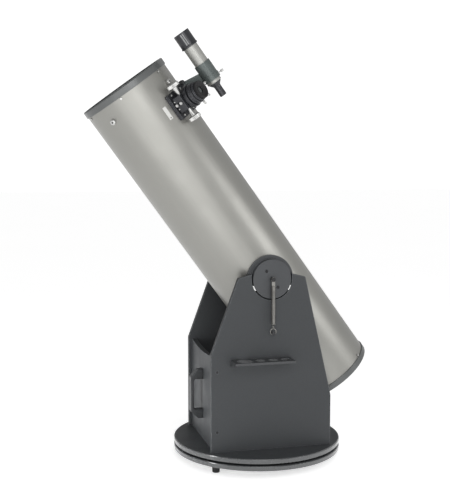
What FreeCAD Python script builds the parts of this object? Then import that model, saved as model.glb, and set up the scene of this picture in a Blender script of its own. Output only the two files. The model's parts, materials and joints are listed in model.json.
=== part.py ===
"""Dobsonian reflector telescope, 254 mm aperture, f/5.

Frame: millimetres, +Z up, origin on the floor at the turntable's axis. The altitude axis lies
along Y, and the tube points towards -X and up. The optical tube is modelled upright about its
own altitude axis and is then tilted to its resting altitude.
"""
import FreeCAD, Part
import math
import os

V = FreeCAD.Vector

# ---------------------------------------------------------------- driving dimensions
APERTURE = 254.0            # primary mirror diameter
FOCAL_LENGTH = 1250.0
TUBE_OD = 300.0
TUBE_WALL = 1.2
TUBE_FRONT = 766.0          # front rim, from the altitude axis along the tube
TUBE_REAR = -440.0
REST_ALTITUDE = 53.9        # degrees above the horizon
AXIS_HEIGHT = 625.0         # altitude axis above the floor

BOARD_T = 16.0              # laminate board thickness
BOARD_R = 283.0             # both round boards, over their edging
EDGING_T = 3.0
FOOT_H = 28.0
FOOT_ANGLES = (-138.5, -18.5, 101.5)
FOOT_CIRCLE_R = 244.0
BEARING_GAP = 7.0           # between the two round boards
BOX_HALF_W = 175.0          # rocker box half width, outside
BEARING_R = 63.8            # altitude bearing disc
BEARING_GAP_R = 3.7         # disc to cut-out
PAD_ANGLE = 26.0            # pads lie this far below the horizontal

FOCUSER_S = 619.0           # focuser axis, along the tube from the altitude axis
FOCUSER_T = 45.0            # focuser direction around the tube
FINDER_T = 20.0
FINDER_AXIS_R = 250.0
SPIDER_S = 694.0

RUN = 0.05                  # radial running clearance of shafts
FREE = 0.3                  # gap between curved faces of different bodies

# ---------------------------------------------------------------- derived dimensions
TUBE_R = TUBE_OD / 2
TUBE_INNER_R = TUBE_R - TUBE_WALL
RING_R = TUBE_R + 3.5
GROUND_Z = FOOT_H
GROUND_TOP = GROUND_Z + BOARD_T
ROCKER_Z = GROUND_TOP + BEARING_GAP
ROCKER_TOP = ROCKER_Z + BOARD_T
BOX_INNER_W = BOX_HALF_W - BOARD_T
CUTOUT_R = BEARING_R + BEARING_GAP_R
MIRROR_R = APERTURE / 2
TURNTABLE_MID = GROUND_TOP + BEARING_GAP / 2
FRONT_BOARD_X = -190.0      # outer face of the front panel
SECONDARY_R = 31.5          # minor half axis of the secondary mirror
MIRROR_FACE_S = -387.0      # centre of the primary's face


# ---------------------------------------------------------------- shape helpers
def cylinder(radius, length, base=(0, 0, 0), axis=(0, 0, 1)):
    return Part.makeCylinder(radius, length, V(*base), V(*axis))


def pipe(outer_r, inner_r, length, base=(0, 0, 0), axis=(0, 0, 1)):
    """A round tube along an axis, starting at base."""
    direction = V(*axis).normalize()
    start = V(*base) - direction
    core = Part.makeCylinder(inner_r, length + 2, start, direction)
    return cylinder(outer_r, length, base, axis).cut(core)


def cone(r1, r2, length, base=(0, 0, 0), axis=(0, 0, 1)):
    return Part.makeCone(r1, r2, length, V(*base), V(*axis))


def block(low, high):
    size = [b - a for a, b in zip(low, high)]
    return Part.makeBox(*size, V(*low))


def prism_y(points, y0, y1):
    """Extrude an outline given in X and Z along Y."""
    wire = Part.makePolygon([V(x, y0, z) for x, z in points] + [V(points[0][0], y0, points[0][1])])
    return Part.Face(wire).extrude(V(0, y1 - y0, 0))


def lathe(profile):
    """Revolve a closed outline of (radius, z) points about Z."""
    wire = Part.makePolygon([V(r, 0, z) for r, z in profile] + [V(profile[0][0], 0, profile[0][1])])
    return Part.Face(wire).revolve(V(0, 0, 0), V(0, 0, 1), 360)


def soften(shape, radius, keep):
    """Fillet the edges that keep(edge) accepts."""
    edges = [edge for edge in shape.Edges if keep(edge)]
    return shape.makeFillet(radius, edges)


def is_line_along(edge, axis):
    """True for a straight edge parallel to the named axis, 0, 1 or 2."""
    if not isinstance(edge.Curve, Part.Line):
        return False
    direction = edge.Curve.Direction
    return abs(abs(direction[axis]) - 1) < 1e-6


def is_full_circle(edge, radius):
    return isinstance(edge.Curve, Part.Circle) and abs(edge.Curve.Radius - radius) < 1e-6


def fuse(shapes):
    result = shapes[0]
    for shape in shapes[1:]:
        result = result.fuse(shape)
    return result.removeSplitter()


def cut(shape, tools):
    for tool in tools:
        shape = shape.cut(tool)
    return shape


def group(shapes):
    return Part.Compound(shapes)


def moved(shape, placement):
    result = shape.copy()
    result.transformShape(placement.toMatrix(), True)
    return result


def polar(radius, degrees, z=0.0):
    angle = math.radians(degrees)
    return (radius * math.cos(angle), radius * math.sin(angle), z)


def screw(head_r, head_h, shank_r, length, base, axis):
    """A screw whose head sits on base and whose shank runs against the axis."""
    head = cylinder(head_r, head_h, base, axis)
    head = soften(head, head_h * 0.45, lambda e: is_full_circle(e, head_r)
                  and (e.Curve.Center - V(*base)).dot(V(*axis).normalize()) > head_h / 2)
    down = V(*axis).normalize() * -1
    shank = Part.makeCylinder(shank_r, length, V(*base), down)
    return head.fuse(shank)


def thumbscrew(head_r, head_h, shank_r, length, base, axis):
    """A knurled screw: a stem towards the axis from base, its head at the far end."""
    direction = V(*axis).normalize()
    stem = Part.makeCylinder(shank_r, length, V(*base), direction)
    start = V(*base) + direction * length
    head = Part.makeCylinder(head_r, head_h, start, direction)
    head = head.makeChamfer(0.8, [e for e in head.Edges if is_full_circle(e, head_r)])
    return head.fuse(stem).removeSplitter()


# ---------------------------------------------------------------- frames of the tube
def tube_angle(degrees):
    """Direction around the upright tube: 0 is the top side, 90 the left side (-Y)."""
    angle = math.radians(degrees)
    return V(math.cos(angle), -math.sin(angle), 0)


def around_tube(radius, degrees, s):
    point = tube_angle(degrees) * radius
    return (point.x, point.y, s)


def side_frame(degrees, s):
    """Placement whose X runs forward along the tube, Y around it and Z straight out of it."""
    out = tube_angle(degrees)
    forward = V(0, 0, 1)
    around = out.cross(forward)
    matrix = FreeCAD.Matrix(forward.x, around.x, out.x, 0, forward.y, around.y, out.y, 0,
                            forward.z, around.z, out.z, s, 0, 0, 0, 1)
    return FreeCAD.Placement(matrix)


TUBE_PLACE = FreeCAD.Placement(V(0, 0, AXIS_HEIGHT),
                               FreeCAD.Rotation(V(0, 1, 0), REST_ALTITUDE - 90))


# ---------------------------------------------------------------- ground and turntable
def round_board(z, centre_hole_r):
    """A laminate disc inside its edging, with a groove for the edging's tongue."""
    board = pipe(BOARD_R - EDGING_T, centre_hole_r, BOARD_T, (0, 0, z))
    mid = z + BOARD_T / 2
    groove = pipe(BOARD_R, BOARD_R - EDGING_T - 8, 2.2, (0, 0, mid - 1.1))
    return board.cut(groove)


def edging(z):
    """Plastic edge moulding: a rounded band with a tongue pressed into the board."""
    band = pipe(BOARD_R, BOARD_R - EDGING_T, BOARD_T, (0, 0, z))
    band = soften(band, EDGING_T - 0.4, lambda e: is_full_circle(e, BOARD_R))
    tongue = pipe(BOARD_R - EDGING_T + 0.5, BOARD_R - EDGING_T - 7.5, 1.8,
                  (0, 0, z + BOARD_T / 2 - 0.9))
    return band.fuse(tongue)


def ground_parts():
    bolt_r = 5.0
    board = round_board(GROUND_Z, bolt_r + RUN)
    board = board.cut(cylinder(13, 6, (0, 0, GROUND_Z)))
    feet = []
    screws = []
    for angle in FOOT_ANGLES:
        x, y, _ = polar(FOOT_CIRCLE_R, angle)
        foot = cone(12.0, 13.5, FOOT_H, (x, y, 0))
        foot = soften(foot, 1.5, lambda e: is_full_circle(e, 12.0))
        foot = foot.cut(cylinder(6.5, 8, (x, y, 0)))
        foot = foot.cut(cylinder(2.6, FOOT_H, (x, y, 0)))
        feet.append(foot)
        screws.append(screw(5.0, 3.0, 2.5, FOOT_H, (x, y, 8), (0, 0, -1)))
        board = board.cut(cylinder(2.6, 9, (x, y, GROUND_Z)))
    bolt = cylinder(12, 5, (0, 0, GROUND_Z + 1)).fuse(cylinder(bolt_r, 56, (0, 0, GROUND_Z + 6)))
    race = pipe(118, 62, 1.2, (0, 0, GROUND_TOP))
    return {"ground_board": board, "ground_edging": edging(GROUND_Z), "feet": group(feet),
            "foot_screws": group(screws), "azimuth_bolt": bolt, "lower_race": race}


def turntable_bearing():
    """Radial rollers in a flat cage between the two steel races."""
    roller_r = 2.2
    cage = pipe(114, 66, 2.4, (0, 0, TURNTABLE_MID - 1.2))
    rollers = []
    count = 16
    for index in range(count):
        angle = 360 * index / count
        start = polar(75, angle, TURNTABLE_MID)
        rollers.append(cylinder(roller_r, 30, start, polar(1, angle)))
        pocket = block((74.7, -roller_r - 0.15, TURNTABLE_MID - 3),
                       (105.3, roller_r + 0.15, TURNTABLE_MID + 3))
        pocket.rotate(V(0, 0, 0), V(0, 0, 1), angle)
        cage = cage.cut(pocket)
    return {"bearing_cage": cage, "bearing_rollers": group(rollers)}


def azimuth_knob():
    """Lobed knob on the pivot bolt that sets the turntable's friction."""
    base_z = ROCKER_TOP + 3.4
    grip = cylinder(25, 15, (0, 0, base_z + 6))
    grip = soften(grip, 2.5, lambda e: is_full_circle(e, 25))
    lobes = 8
    for index in range(lobes):
        x, y, _ = polar(29.5, 360 * index / lobes)
        grip = grip.cut(cylinder(8, 20, (x, y, base_z + 4)))
    knob = grip.fuse(cylinder(14, 6, (0, 0, base_z)))
    return {"azimuth_knob": knob.cut(cylinder(5 + RUN, 19.6, (0, 0, base_z)))}


# ---------------------------------------------------------------- rocker box
SIDE_FRONT_X = -202.0
SIDE_REAR_X = 204.0
SIDE_FRONT_Z = 384.6        # where the front edge starts to taper
SIDE_REAR_Z = 234.4
SIDE_SHOULDER_Z = 630.0
SIDE_PEAK_Z = 641.0
PANEL_SCREW_ZS = (133.0, 330.0)
PANEL_X_MID = FRONT_BOARD_X + BOARD_T / 2
SIDE_SCREW_XS = (-130.0, 30.0, 170.0)
PANEL_BASE_YS = (-90.0, 90.0)
HANDLE_SCREW_ZS = (153.0, 290.0)
POST_Z = 452.0              # post that holds the spring's pull ring
SPRING_Y = BOX_HALF_W + 15.0
RACK_X = (-137.0, 62.0)
RACK_TOP = 368.0
RACK_DEPTH = 62.0
RACK_SCREW_XS = (-105.0, 30.0)
RACK_SCREW_Z = 354.0


def side_board(side):
    """One side board; side is -1 for the left (-Y) board and 1 for the right one."""
    outline = [(SIDE_FRONT_X, ROCKER_TOP), (SIDE_REAR_X, ROCKER_TOP), (SIDE_REAR_X, SIDE_REAR_Z),
               (113.0, SIDE_SHOULDER_Z), (60.0, SIDE_PEAK_Z + 2.0), (-60.0, SIDE_PEAK_Z + 2.0),
               (-112.0, SIDE_SHOULDER_Z), (SIDE_FRONT_X, SIDE_FRONT_Z)]
    inner = side * BOX_INNER_W
    outer = side * BOX_HALF_W
    low, high = min(inner, outer), max(inner, outer)
    board = prism_y(outline, low, high)
    corners = ((SIDE_REAR_X, SIDE_REAR_Z), (113.0, SIDE_SHOULDER_Z), (-112.0, SIDE_SHOULDER_Z),
               (SIDE_FRONT_X, SIDE_FRONT_Z))

    def at_corner(edge):
        if not is_line_along(edge, 1):
            return False
        here = edge.Vertexes[0].Point
        return any(abs(here.x - x) < 0.1 and abs(here.z - z) < 0.1 for x, z in corners)

    board = soften(board, 7.0, at_corner)
    board = board.cut(cylinder(CUTOUT_R, BOARD_T, (0, low, AXIS_HEIGHT), (0, 1, 0)))
    board = board.cut(block((-CUTOUT_R, low, AXIS_HEIGHT), (CUTOUT_R, high, AXIS_HEIGHT + 60)))
    board = board.makeChamfer(0.8, [e for e in board.Edges if on_face(e, outer)])
    for z in PANEL_SCREW_ZS:
        board = board.cut(cylinder(2.6, 40, (PANEL_X_MID, -20 + side * 167, z), (0, 1, 0)))
        board = board.cut(cylinder(4.6, 3, (PANEL_X_MID, outer - side * 2.5, z), (0, side, 0)))
    board = board.cut(cylinder(2.6, 13, (0, outer, POST_Z), (0, -side, 0)))
    for x in SIDE_SCREW_XS:
        board = board.cut(cylinder(2.6, 36, (x, side * (BOX_HALF_W - BOARD_T / 2), ROCKER_TOP)))
    if side < 0:
        for x in RACK_SCREW_XS:
            board = board.cut(cylinder(2.1, 13, (x, outer, RACK_SCREW_Z), (0, 1, 0)))
    return board


def on_face(edge, y):
    """True for an edge that lies wholly in the plane of constant y."""
    return all(abs(vertex.Point.y - y) < 1e-6 for vertex in edge.Vertexes)


def front_panel():
    """Panel between the side boards, its top edge a shallow arc that clears the tube."""
    half = BOX_INNER_W
    arc_rise = 13.7
    arc_low_z = 365.5
    arc_r = (half ** 2 + arc_rise ** 2) / (2 * arc_rise)
    back_x = FRONT_BOARD_X + BOARD_T
    panel = block((FRONT_BOARD_X, -half, ROCKER_TOP), (back_x, half, arc_low_z + arc_rise))
    panel = panel.cut(cylinder(arc_r, BOARD_T, (FRONT_BOARD_X, 0, arc_low_z + arc_r), (1, 0, 0)))
    for z in PANEL_SCREW_ZS:
        for side in (-1, 1):
            panel = panel.cut(cylinder(2.6, 36, (PANEL_X_MID, side * half, z), (0, -side, 0)))
    for y in PANEL_BASE_YS:
        panel = panel.cut(cylinder(2.6, 36, (PANEL_X_MID, y, ROCKER_TOP)))
    for z in HANDLE_SCREW_ZS:
        panel = panel.cut(cylinder(2.6, BOARD_T, (FRONT_BOARD_X, 0, z), (1, 0, 0)))
    return panel


def carry_handle():
    """Moulded handle: a straight grip on two feet, with 45 degree shoulders."""
    half_w = 14.0
    reach = FRONT_BOARD_X - 43.0
    shoulder = reach + 24.0
    outline = [(FRONT_BOARD_X, 139.0), (shoulder, 139.0), (reach, 164.0), (reach, 281.0),
               (shoulder, 306.0), (FRONT_BOARD_X, 306.0)]
    handle = prism_y(outline, -half_w, half_w)
    gap = block((reach + 10.0, -half_w, 169.0), (FRONT_BOARD_X + 20, half_w, 273.0))
    gap = soften(gap, 9.0, lambda e: is_line_along(e, 1) and e.Vertexes[0].Point.x < FRONT_BOARD_X)
    handle = handle.cut(gap)
    handle = handle.makeFillet(2.0, [e for e in handle.Edges
                                     if is_line_along(e, 2) and e.Vertexes[0].Point.x < reach + 1])
    for z in HANDLE_SCREW_ZS:
        handle = handle.cut(cylinder(2.1, 16, (FRONT_BOARD_X, 0, z), (-1, 0, 0)))
    return handle


def rocker_screws():
    """Panel, base, handle and rack screws, and the two posts for the spring rings."""
    screws = []
    for side in (-1, 1):
        for z in PANEL_SCREW_ZS:
            base = (PANEL_X_MID, side * (BOX_HALF_W - 2.4), z)
            screws.append(screw(4.4, 2.2, 2.5, 45, base, (0, side, 0)))
        for x in SIDE_SCREW_XS:
            base = (x, side * (BOX_HALF_W - BOARD_T / 2), ROCKER_Z + 4)
            screws.append(screw(4.8, 3.0, 2.5, 45, base, (0, 0, -1)))
        post_len = SPRING_Y + 5 - BOX_HALF_W
        post = screw(6.0, 2.5, 3.3, post_len, (0, side * (SPRING_Y + 5), POST_Z), (0, side, 0))
        tip = cylinder(2.5, 12, (0, side * BOX_HALF_W, POST_Z), (0, -side, 0))
        screws.append(post.fuse(tip))
    for y in PANEL_BASE_YS:
        screws.append(screw(4.8, 3.0, 2.5, 45, (PANEL_X_MID, y, ROCKER_Z + 4), (0, 0, -1)))
    for z in HANDLE_SCREW_ZS:
        base = (FRONT_BOARD_X + BOARD_T, 0, z)
        screws.append(screw(5.0, 3.0, 2.0, 30, base, (1, 0, 0)))
    for x in RACK_SCREW_XS:
        base = (x, -BOX_HALF_W - 1.5, RACK_SCREW_Z)
        screws.append(screw(4.0, 2.4, 2.0, 13.4, base, (0, -1, 0)))
    return group(screws)


def eyepiece_rack():
    """Folded steel shelf: one 2 inch hole and three 1.25 inch holes."""
    sheet = 1.5
    wall = -BOX_HALF_W
    front = wall - RACK_DEPTH
    x0, x1 = RACK_X
    plate = block((x0, front, RACK_TOP - sheet), (x1, wall, RACK_TOP))
    lip = block((x0, front, RACK_TOP - 7.5), (x1, front + sheet, RACK_TOP))
    back = block((x0, wall - sheet, RACK_TOP - 22), (x1, wall, RACK_TOP))
    parts = [plate, lip, back]
    for x in (x0, x1 - sheet):
        points = [V(x, wall, RACK_TOP), V(x, front, RACK_TOP), V(x, front, RACK_TOP - 7.5),
                  V(x, wall, RACK_TOP - 22), V(x, wall, RACK_TOP)]
        parts.append(Part.Face(Part.makePolygon(points)).extrude(V(sheet, 0, 0)))
    rack = fuse(parts)
    mid = wall - RACK_DEPTH / 2
    for x, radius in ((-98.0, 25.9), (-46.0, 16.4), (-4.0, 16.4), (38.0, 16.4)):
        rack = rack.cut(cylinder(radius, 10, (x, mid, RACK_TOP - 5)))
    for x in RACK_SCREW_XS:
        rack = rack.cut(cylinder(2.2, 4, (x, wall - 3, RACK_SCREW_Z), (0, 1, 0)))
    return rack


def altitude_pads():
    """Low friction pads between the cut-outs and the bearing discs, two per side."""
    inner_r = BEARING_R + 0.1
    half_angle = 7.5
    pads = []
    for side in (-1, 1):
        low = min(side * (BOX_INNER_W + 0.5), side * (BOX_HALF_W - 0.5))
        for centre in (-PAD_ANGLE, PAD_ANGLE - 180):
            shell = pipe(CUTOUT_R - 0.02, inner_r, BOARD_T - 1, (0, low, AXIS_HEIGHT), (0, 1, 0))
            points = [V(0, low, AXIS_HEIGHT)]
            for edge_angle in (centre - half_angle, centre + half_angle):
                angle = math.radians(edge_angle)
                points.append(V(90 * math.cos(angle), low, AXIS_HEIGHT + 90 * math.sin(angle)))
            wedge = Part.Face(Part.makePolygon(points + points[:1])).extrude(V(0, BOARD_T - 1, 0))
            pads.append(shell.common(wedge))
    return group(pads)


def tension_springs():
    """Per side: a strap hook over the bearing stud, the closed coil and the pull ring."""
    solids = []
    coil_top, coil_bottom = 604.0, 479.0
    for side in (-1, 1):
        y = side * SPRING_Y
        strap = block((-5.5, y - 1, coil_top - 6), (5.5, y + 1, AXIS_HEIGHT))
        strap = strap.fuse(cylinder(7.5, 2, (0, y - 1, AXIS_HEIGHT), (0, 1, 0)))
        strap = strap.cut(cylinder(4 + RUN, 4, (0, y - 2, AXIS_HEIGHT), (0, 1, 0)))
        solids.append(strap)
        coil = pipe(7.0, 5.2, coil_top - coil_bottom, (0, y, coil_bottom))
        solids.append(coil.cut(block((-5.6, y - 1.1, coil_top - 7), (5.6, y + 1.1, coil_top))))
        eye = Part.makeTorus(5.5, 1.1, V(0, y, coil_bottom - 6.8), V(1, 0, 0))
        solids.append(eye)
        ring = Part.makeTorus(9.5, 1.3, V(0, y, POST_Z + 5.0), V(0, 1, 0))
        solids.append(ring)
    return group(solids)


def rocker_parts():
    board = round_board(ROCKER_Z, 9.0)
    for side in (-1, 1):
        for x in SIDE_SCREW_XS:
            y = side * (BOX_HALF_W - BOARD_T / 2)
            board = board.cut(cylinder(2.6, BOARD_T, (x, y, ROCKER_Z)))
            board = board.cut(cylinder(5.0, 4, (x, y, ROCKER_Z)))
    for y in PANEL_BASE_YS:
        board = board.cut(cylinder(2.6, BOARD_T, (PANEL_X_MID, y, ROCKER_Z)))
        board = board.cut(cylinder(5.0, 4, (PANEL_X_MID, y, ROCKER_Z)))
    bush = pipe(9.0, 5 + RUN, BOARD_T, (0, 0, ROCKER_Z)).fuse(pipe(16, 5 + RUN, 3, (0, 0, ROCKER_TOP)))
    return {"rocker_board": board, "rocker_edging": edging(ROCKER_Z),
            "upper_race": pipe(118, 62, 1.2, (0, 0, ROCKER_Z - 1.2)),
            "azimuth_bush": bush.removeSplitter(),
            "left_side_board": side_board(-1), "right_side_board": side_board(1),
            "front_panel": front_panel(), "carry_handle": carry_handle(),
            "rocker_screws": rocker_screws(), "eyepiece_rack": eyepiece_rack(),
            "altitude_pads": altitude_pads(), "tension_springs": tension_springs()}


# ---------------------------------------------------------------- optical tube (upright)
RING_SCREW_FRONT_S = 738.0
RING_SCREW_REAR_S = -414.0
RING_SCREW_T = 49.5         # first ring screw, the others follow every 60 degrees
SPIDER_TS = (45.0, 135.0, 225.0, 315.0)
CELL_S = (-436.0, -428.0)
CELL_SCREW_T = (30.0, 150.0, 270.0)
CELL_SCREW_R = 104.0
SADDLE_TOP = 153.0          # flat top of the focuser's base, from the tube's axis
SADDLE_HALF_X = 44.0        # along the tube
SADDLE_Y = (-50.0, 53.0)    # around the tube
SADDLE_SCREWS = (36.0, 32.0)
FLANGE_R = 76.5
BEARING_SCREW_S = 32.5
STUD_R = 4.0
SHOE_S = (604.0, 672.0)
SHOE_HALF = 12.0
SHOE_SCREW_S = (612.0, 654.0)
SHOE_KNOB_S = 664.0
LABEL_T = 74.0
LABEL_S = (597.0, 641.0)
LABEL_RIVET_S = 602.0


def ring_screw_places():
    places = []
    for index in range(6):
        angle = RING_SCREW_T + 60 * index
        places.append((angle, RING_SCREW_FRONT_S))
        places.append((angle, RING_SCREW_REAR_S))
    return places


def saddle_screw_places():
    """Corner screws of the focuser's base, in the focuser's side frame."""
    x, y = SADDLE_SCREWS
    return [(sx * x, sy * y) for sx in (-1, 1) for sy in (-1, 1)]


def main_tube():
    """Rolled steel tube with its focuser hole and the holes of its screws."""
    tube = pipe(TUBE_R, TUBE_INNER_R, TUBE_FRONT - TUBE_REAR - 6, (0, 0, TUBE_REAR + 3))
    start = 120.0
    holes = [cylinder(33.0, 60, around_tube(start, FOCUSER_T, FOCUSER_S), tube_angle(FOCUSER_T))]
    for angle, s in ring_screw_places():
        holes.append(cylinder(2.1, 60, around_tube(start, angle, s), tube_angle(angle)))
    for angle in SPIDER_TS:
        holes.append(cylinder(2.6, 60, around_tube(start, angle, SPIDER_S), tube_angle(angle)))
    for side in (-1, 1):
        for z in (-BEARING_SCREW_S, 0.0, BEARING_SCREW_S):
            radius = STUD_R + 0.1 if z == 0 else 2.6
            holes.append(cylinder(radius, 60, (0, side * start, z), (0, side, 0)))
    for s in SHOE_SCREW_S:
        holes.append(cylinder(2.1, 60, around_tube(start, FINDER_T, s), tube_angle(FINDER_T)))
    rivet_at = around_tube(start, LABEL_T, LABEL_RIVET_S)
    holes.append(cylinder(1.1, 60, rivet_at, tube_angle(LABEL_T)))
    for x, y in saddle_screw_places():
        hole = cylinder(2.1, 60, (x, y, start))
        holes.append(moved(hole, side_frame(FOCUSER_T, FOCUSER_S)))
    return cut(tube, holes)


def end_ring(edge_s, skirt_s, rear):
    """Cast end ring: a bead outside the tube, a lip over its end and a skirt inside."""
    width = 22.5 if not rear else 20.0
    sign = -1 if rear else 1
    bead_inner = edge_s - sign * width
    outer = RING_R
    profile = [(TUBE_R + 0.05, bead_inner), (outer - 0.8, bead_inner), (outer, bead_inner + sign * 1.2),
               (outer, edge_s - sign * 3.0), (outer - 2.2, edge_s), (TUBE_INNER_R - 4.0, edge_s),
               (TUBE_INNER_R - 2.6, edge_s - sign * 3.0), (TUBE_INNER_R - 2.6, skirt_s),
               (TUBE_INNER_R - 0.1, skirt_s), (TUBE_INNER_R - 0.1, edge_s - sign * 3.0),
               (TUBE_R + 0.05, edge_s - sign * 3.0)]
    ring = lathe(profile)
    for angle, s in ring_screw_places():
        if (s < 0) == rear:
            ring = ring.cut(cylinder(2.0, 60, around_tube(120, angle, s), tube_angle(angle)))
    return ring


def tube_screws():
    """Ring screws, focuser base screws, shaft block screws, tension screw and shoe screws."""
    screws = []
    for angle, s in ring_screw_places():
        base = around_tube(TUBE_R, angle, s)
        screws.append(screw(4.0, 2.4, 1.9, 5.6, base, tube_angle(angle)))
    for s in SHOE_SCREW_S:
        base = around_tube(155.0, FINDER_T, s)
        screws.append(screw(3.4, 2.4, 2.0, 9.0, base, tube_angle(FINDER_T)))
    local = []
    for x, y in saddle_screw_places():
        local.append(screw(4.0, 2.4, 1.9, 12.0, (x, y, SADDLE_TOP), (0, 0, 1)))
    for x in BLOCK_SCREW_XS:
        local.append(screw(2.4, 1.6, 1.5, 8.0, (x, BLOCK_FACE_Y, BLOCK_SCREW_Z), (0, 1, 0)))
    tension_at = (SIDE_SCREW_X, BLOCK_FACE_Y - 8, TENSION_SCREW_Z)
    local.append(thumbscrew(5.0, 6.5, 2.0, 12.0, tension_at, (0, 1, 0)))
    place = side_frame(FOCUSER_T, FOCUSER_S)
    screws.extend(moved(shape, place) for shape in local)
    return group(screws)


def altitude_bearings():
    """Disc bearings: a retaining flange inside the box and the disc that runs on the pads."""
    bearings = []
    face = BOX_HALF_W + 3.0
    for side in (-1, 1):
        disc = cylinder(BEARING_R, face - 100, (0, side * 100, 0), (0, side, 0))
        disc = soften(disc, 1.5, lambda e: is_full_circle(e, BEARING_R) and abs(e.Curve.Center.y) > 120)
        flange = cylinder(FLANGE_R, 57.0, (0, side * 100, 0), (0, side, 0))
        body = disc.fuse(flange).removeSplitter()
        body = body.cut(cylinder(TUBE_R + 0.05, 400, (0, 0, -200)))
        body = body.cut(cylinder(STUD_R + 0.1, 200, (0, 0, 0), (0, side, 0)))
        for z in (-BEARING_SCREW_S, BEARING_SCREW_S):
            body = body.cut(cylinder(2.6, 200, (0, 0, z), (0, side, 0)))
            body = body.cut(cylinder(5.2, 10, (0, side * (face - 4), z), (0, side, 0)))
        bearings.append(body)
    return group(bearings)


def altitude_bolts():
    """Per side: the centre stud that carries the spring hook, and two screws."""
    bolts = []
    face = BOX_HALF_W + 3.0
    for side in (-1, 1):
        stud = cylinder(STUD_R, SPRING_Y + 2.4 - 140, (0, side * 140, 0), (0, side, 0))
        head = cylinder(7.0, 3.5, (0, side * (SPRING_Y + 2.4), 0), (0, side, 0))
        head = soften(head, 1.2, lambda e: is_full_circle(e, 7.0)
                      and abs(e.Curve.Center.y) > SPRING_Y + 4)
        nut = cylinder(8.0, 6, (0, side * 141, 0), (0, side, 0))
        collar = pipe(7.0, STUD_R, 8.0, (0, side * face, 0), (0, side, 0))
        bolts.append(fuse([stud, head, nut, collar]))
        for z in (-BEARING_SCREW_S, BEARING_SCREW_S):
            bolts.append(screw(4.8, 3.6, 2.5, 36, (0, side * (face - 4), z), (0, side, 0)))
    return group(bolts)


def mirror_cell():
    """Three spoked casting screwed inside the rear of the tube."""
    low, high = CELL_S
    hoop = pipe(TUBE_INNER_R - 2.8, 128, high - low, (0, 0, low))
    hub = pipe(44, 30, high - low, (0, 0, low))
    parts = [hoop, hub]
    for angle in CELL_SCREW_T:
        spoke = block((38, -16, low), (132, 16, high))
        spoke.rotate(V(0, 0, 0), V(0, 0, 1), -angle)
        parts.append(spoke)
    cell = fuse(parts)
    for angle in CELL_SCREW_T:
        cell = cell.cut(cylinder(3 + RUN, 20, around_tube(CELL_SCREW_R, angle, low - 5)))
        cell = cell.cut(cylinder(2.6, 20, around_tube(CELL_SCREW_R - 28, angle, low - 5)))
    return cell


def mirror_parts():
    back = MIRROR_FACE_S - 31.0
    sphere_r = 2 * FOCAL_LENGTH
    mirror = cylinder(MIRROR_R, 40, (0, 0, back))
    mirror = mirror.cut(block((-130, -130, MIRROR_FACE_S + 3.226), (130, 130, MIRROR_FACE_S + 20)))
    mirror = mirror.cut(Part.makeSphere(sphere_r, V(0, 0, MIRROR_FACE_S + sphere_r)))
    carrier = cylinder(120, 5, (0, 0, back - 5))
    carrier = carrier.cut(cylinder(30, 5, (0, 0, back - 5)))
    clips = []
    springs = []
    locks = []
    for angle in CELL_SCREW_T:
        clip = block((116, -9, back - 5), (132, 9, MIRROR_FACE_S + 6))
        notch = block((100, -10, back), (MIRROR_R + 0.4, 10, MIRROR_FACE_S + 3.4))
        clip = clip.cut(notch)
        clip.rotate(V(0, 0, 0), V(0, 0, 1), -(angle + 60))
        clips.append(clip)
        carrier_notch = block((115.8, -9.2, back - 5), (140, 9.2, back))
        carrier_notch.rotate(V(0, 0, 0), V(0, 0, 1), -(angle + 60))
        carrier = carrier.cut(carrier_notch)
        carrier = carrier.cut(cylinder(3 + RUN, 5, around_tube(CELL_SCREW_R, angle, back - 5)))
        springs.append(pipe(6.5, 4.6, back - 5 - CELL_S[1], around_tube(CELL_SCREW_R, angle, CELL_S[1])))
        lock_at = around_tube(CELL_SCREW_R - 28, angle, CELL_S[0])
        knob = cylinder(6.5, 9, lock_at, (0, 0, -1))
        locks.append(knob.fuse(cylinder(2.5, 12.8, lock_at)))
    return {"primary_mirror": mirror, "mirror_carrier": carrier, "mirror_clips": group(clips),
            "collimation_springs": group(springs), "cell_lock_screws": group(locks)}


def collimation_knobs():
    """Three sprung screws that tip the mirror carrier."""
    knobs = {}
    for number, angle in enumerate(CELL_SCREW_T, start=1):
        at = around_tube(CELL_SCREW_R, angle, CELL_S[0] - FREE)
        knob = cylinder(12.5, 14, at, (0, 0, -1))
        knob = soften(knob, 1.5, lambda e: is_full_circle(e, 12.5))
        knobs["collimation_knob_%d" % number] = knob.fuse(cylinder(3.0, 17.8, at))
    return knobs


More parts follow.
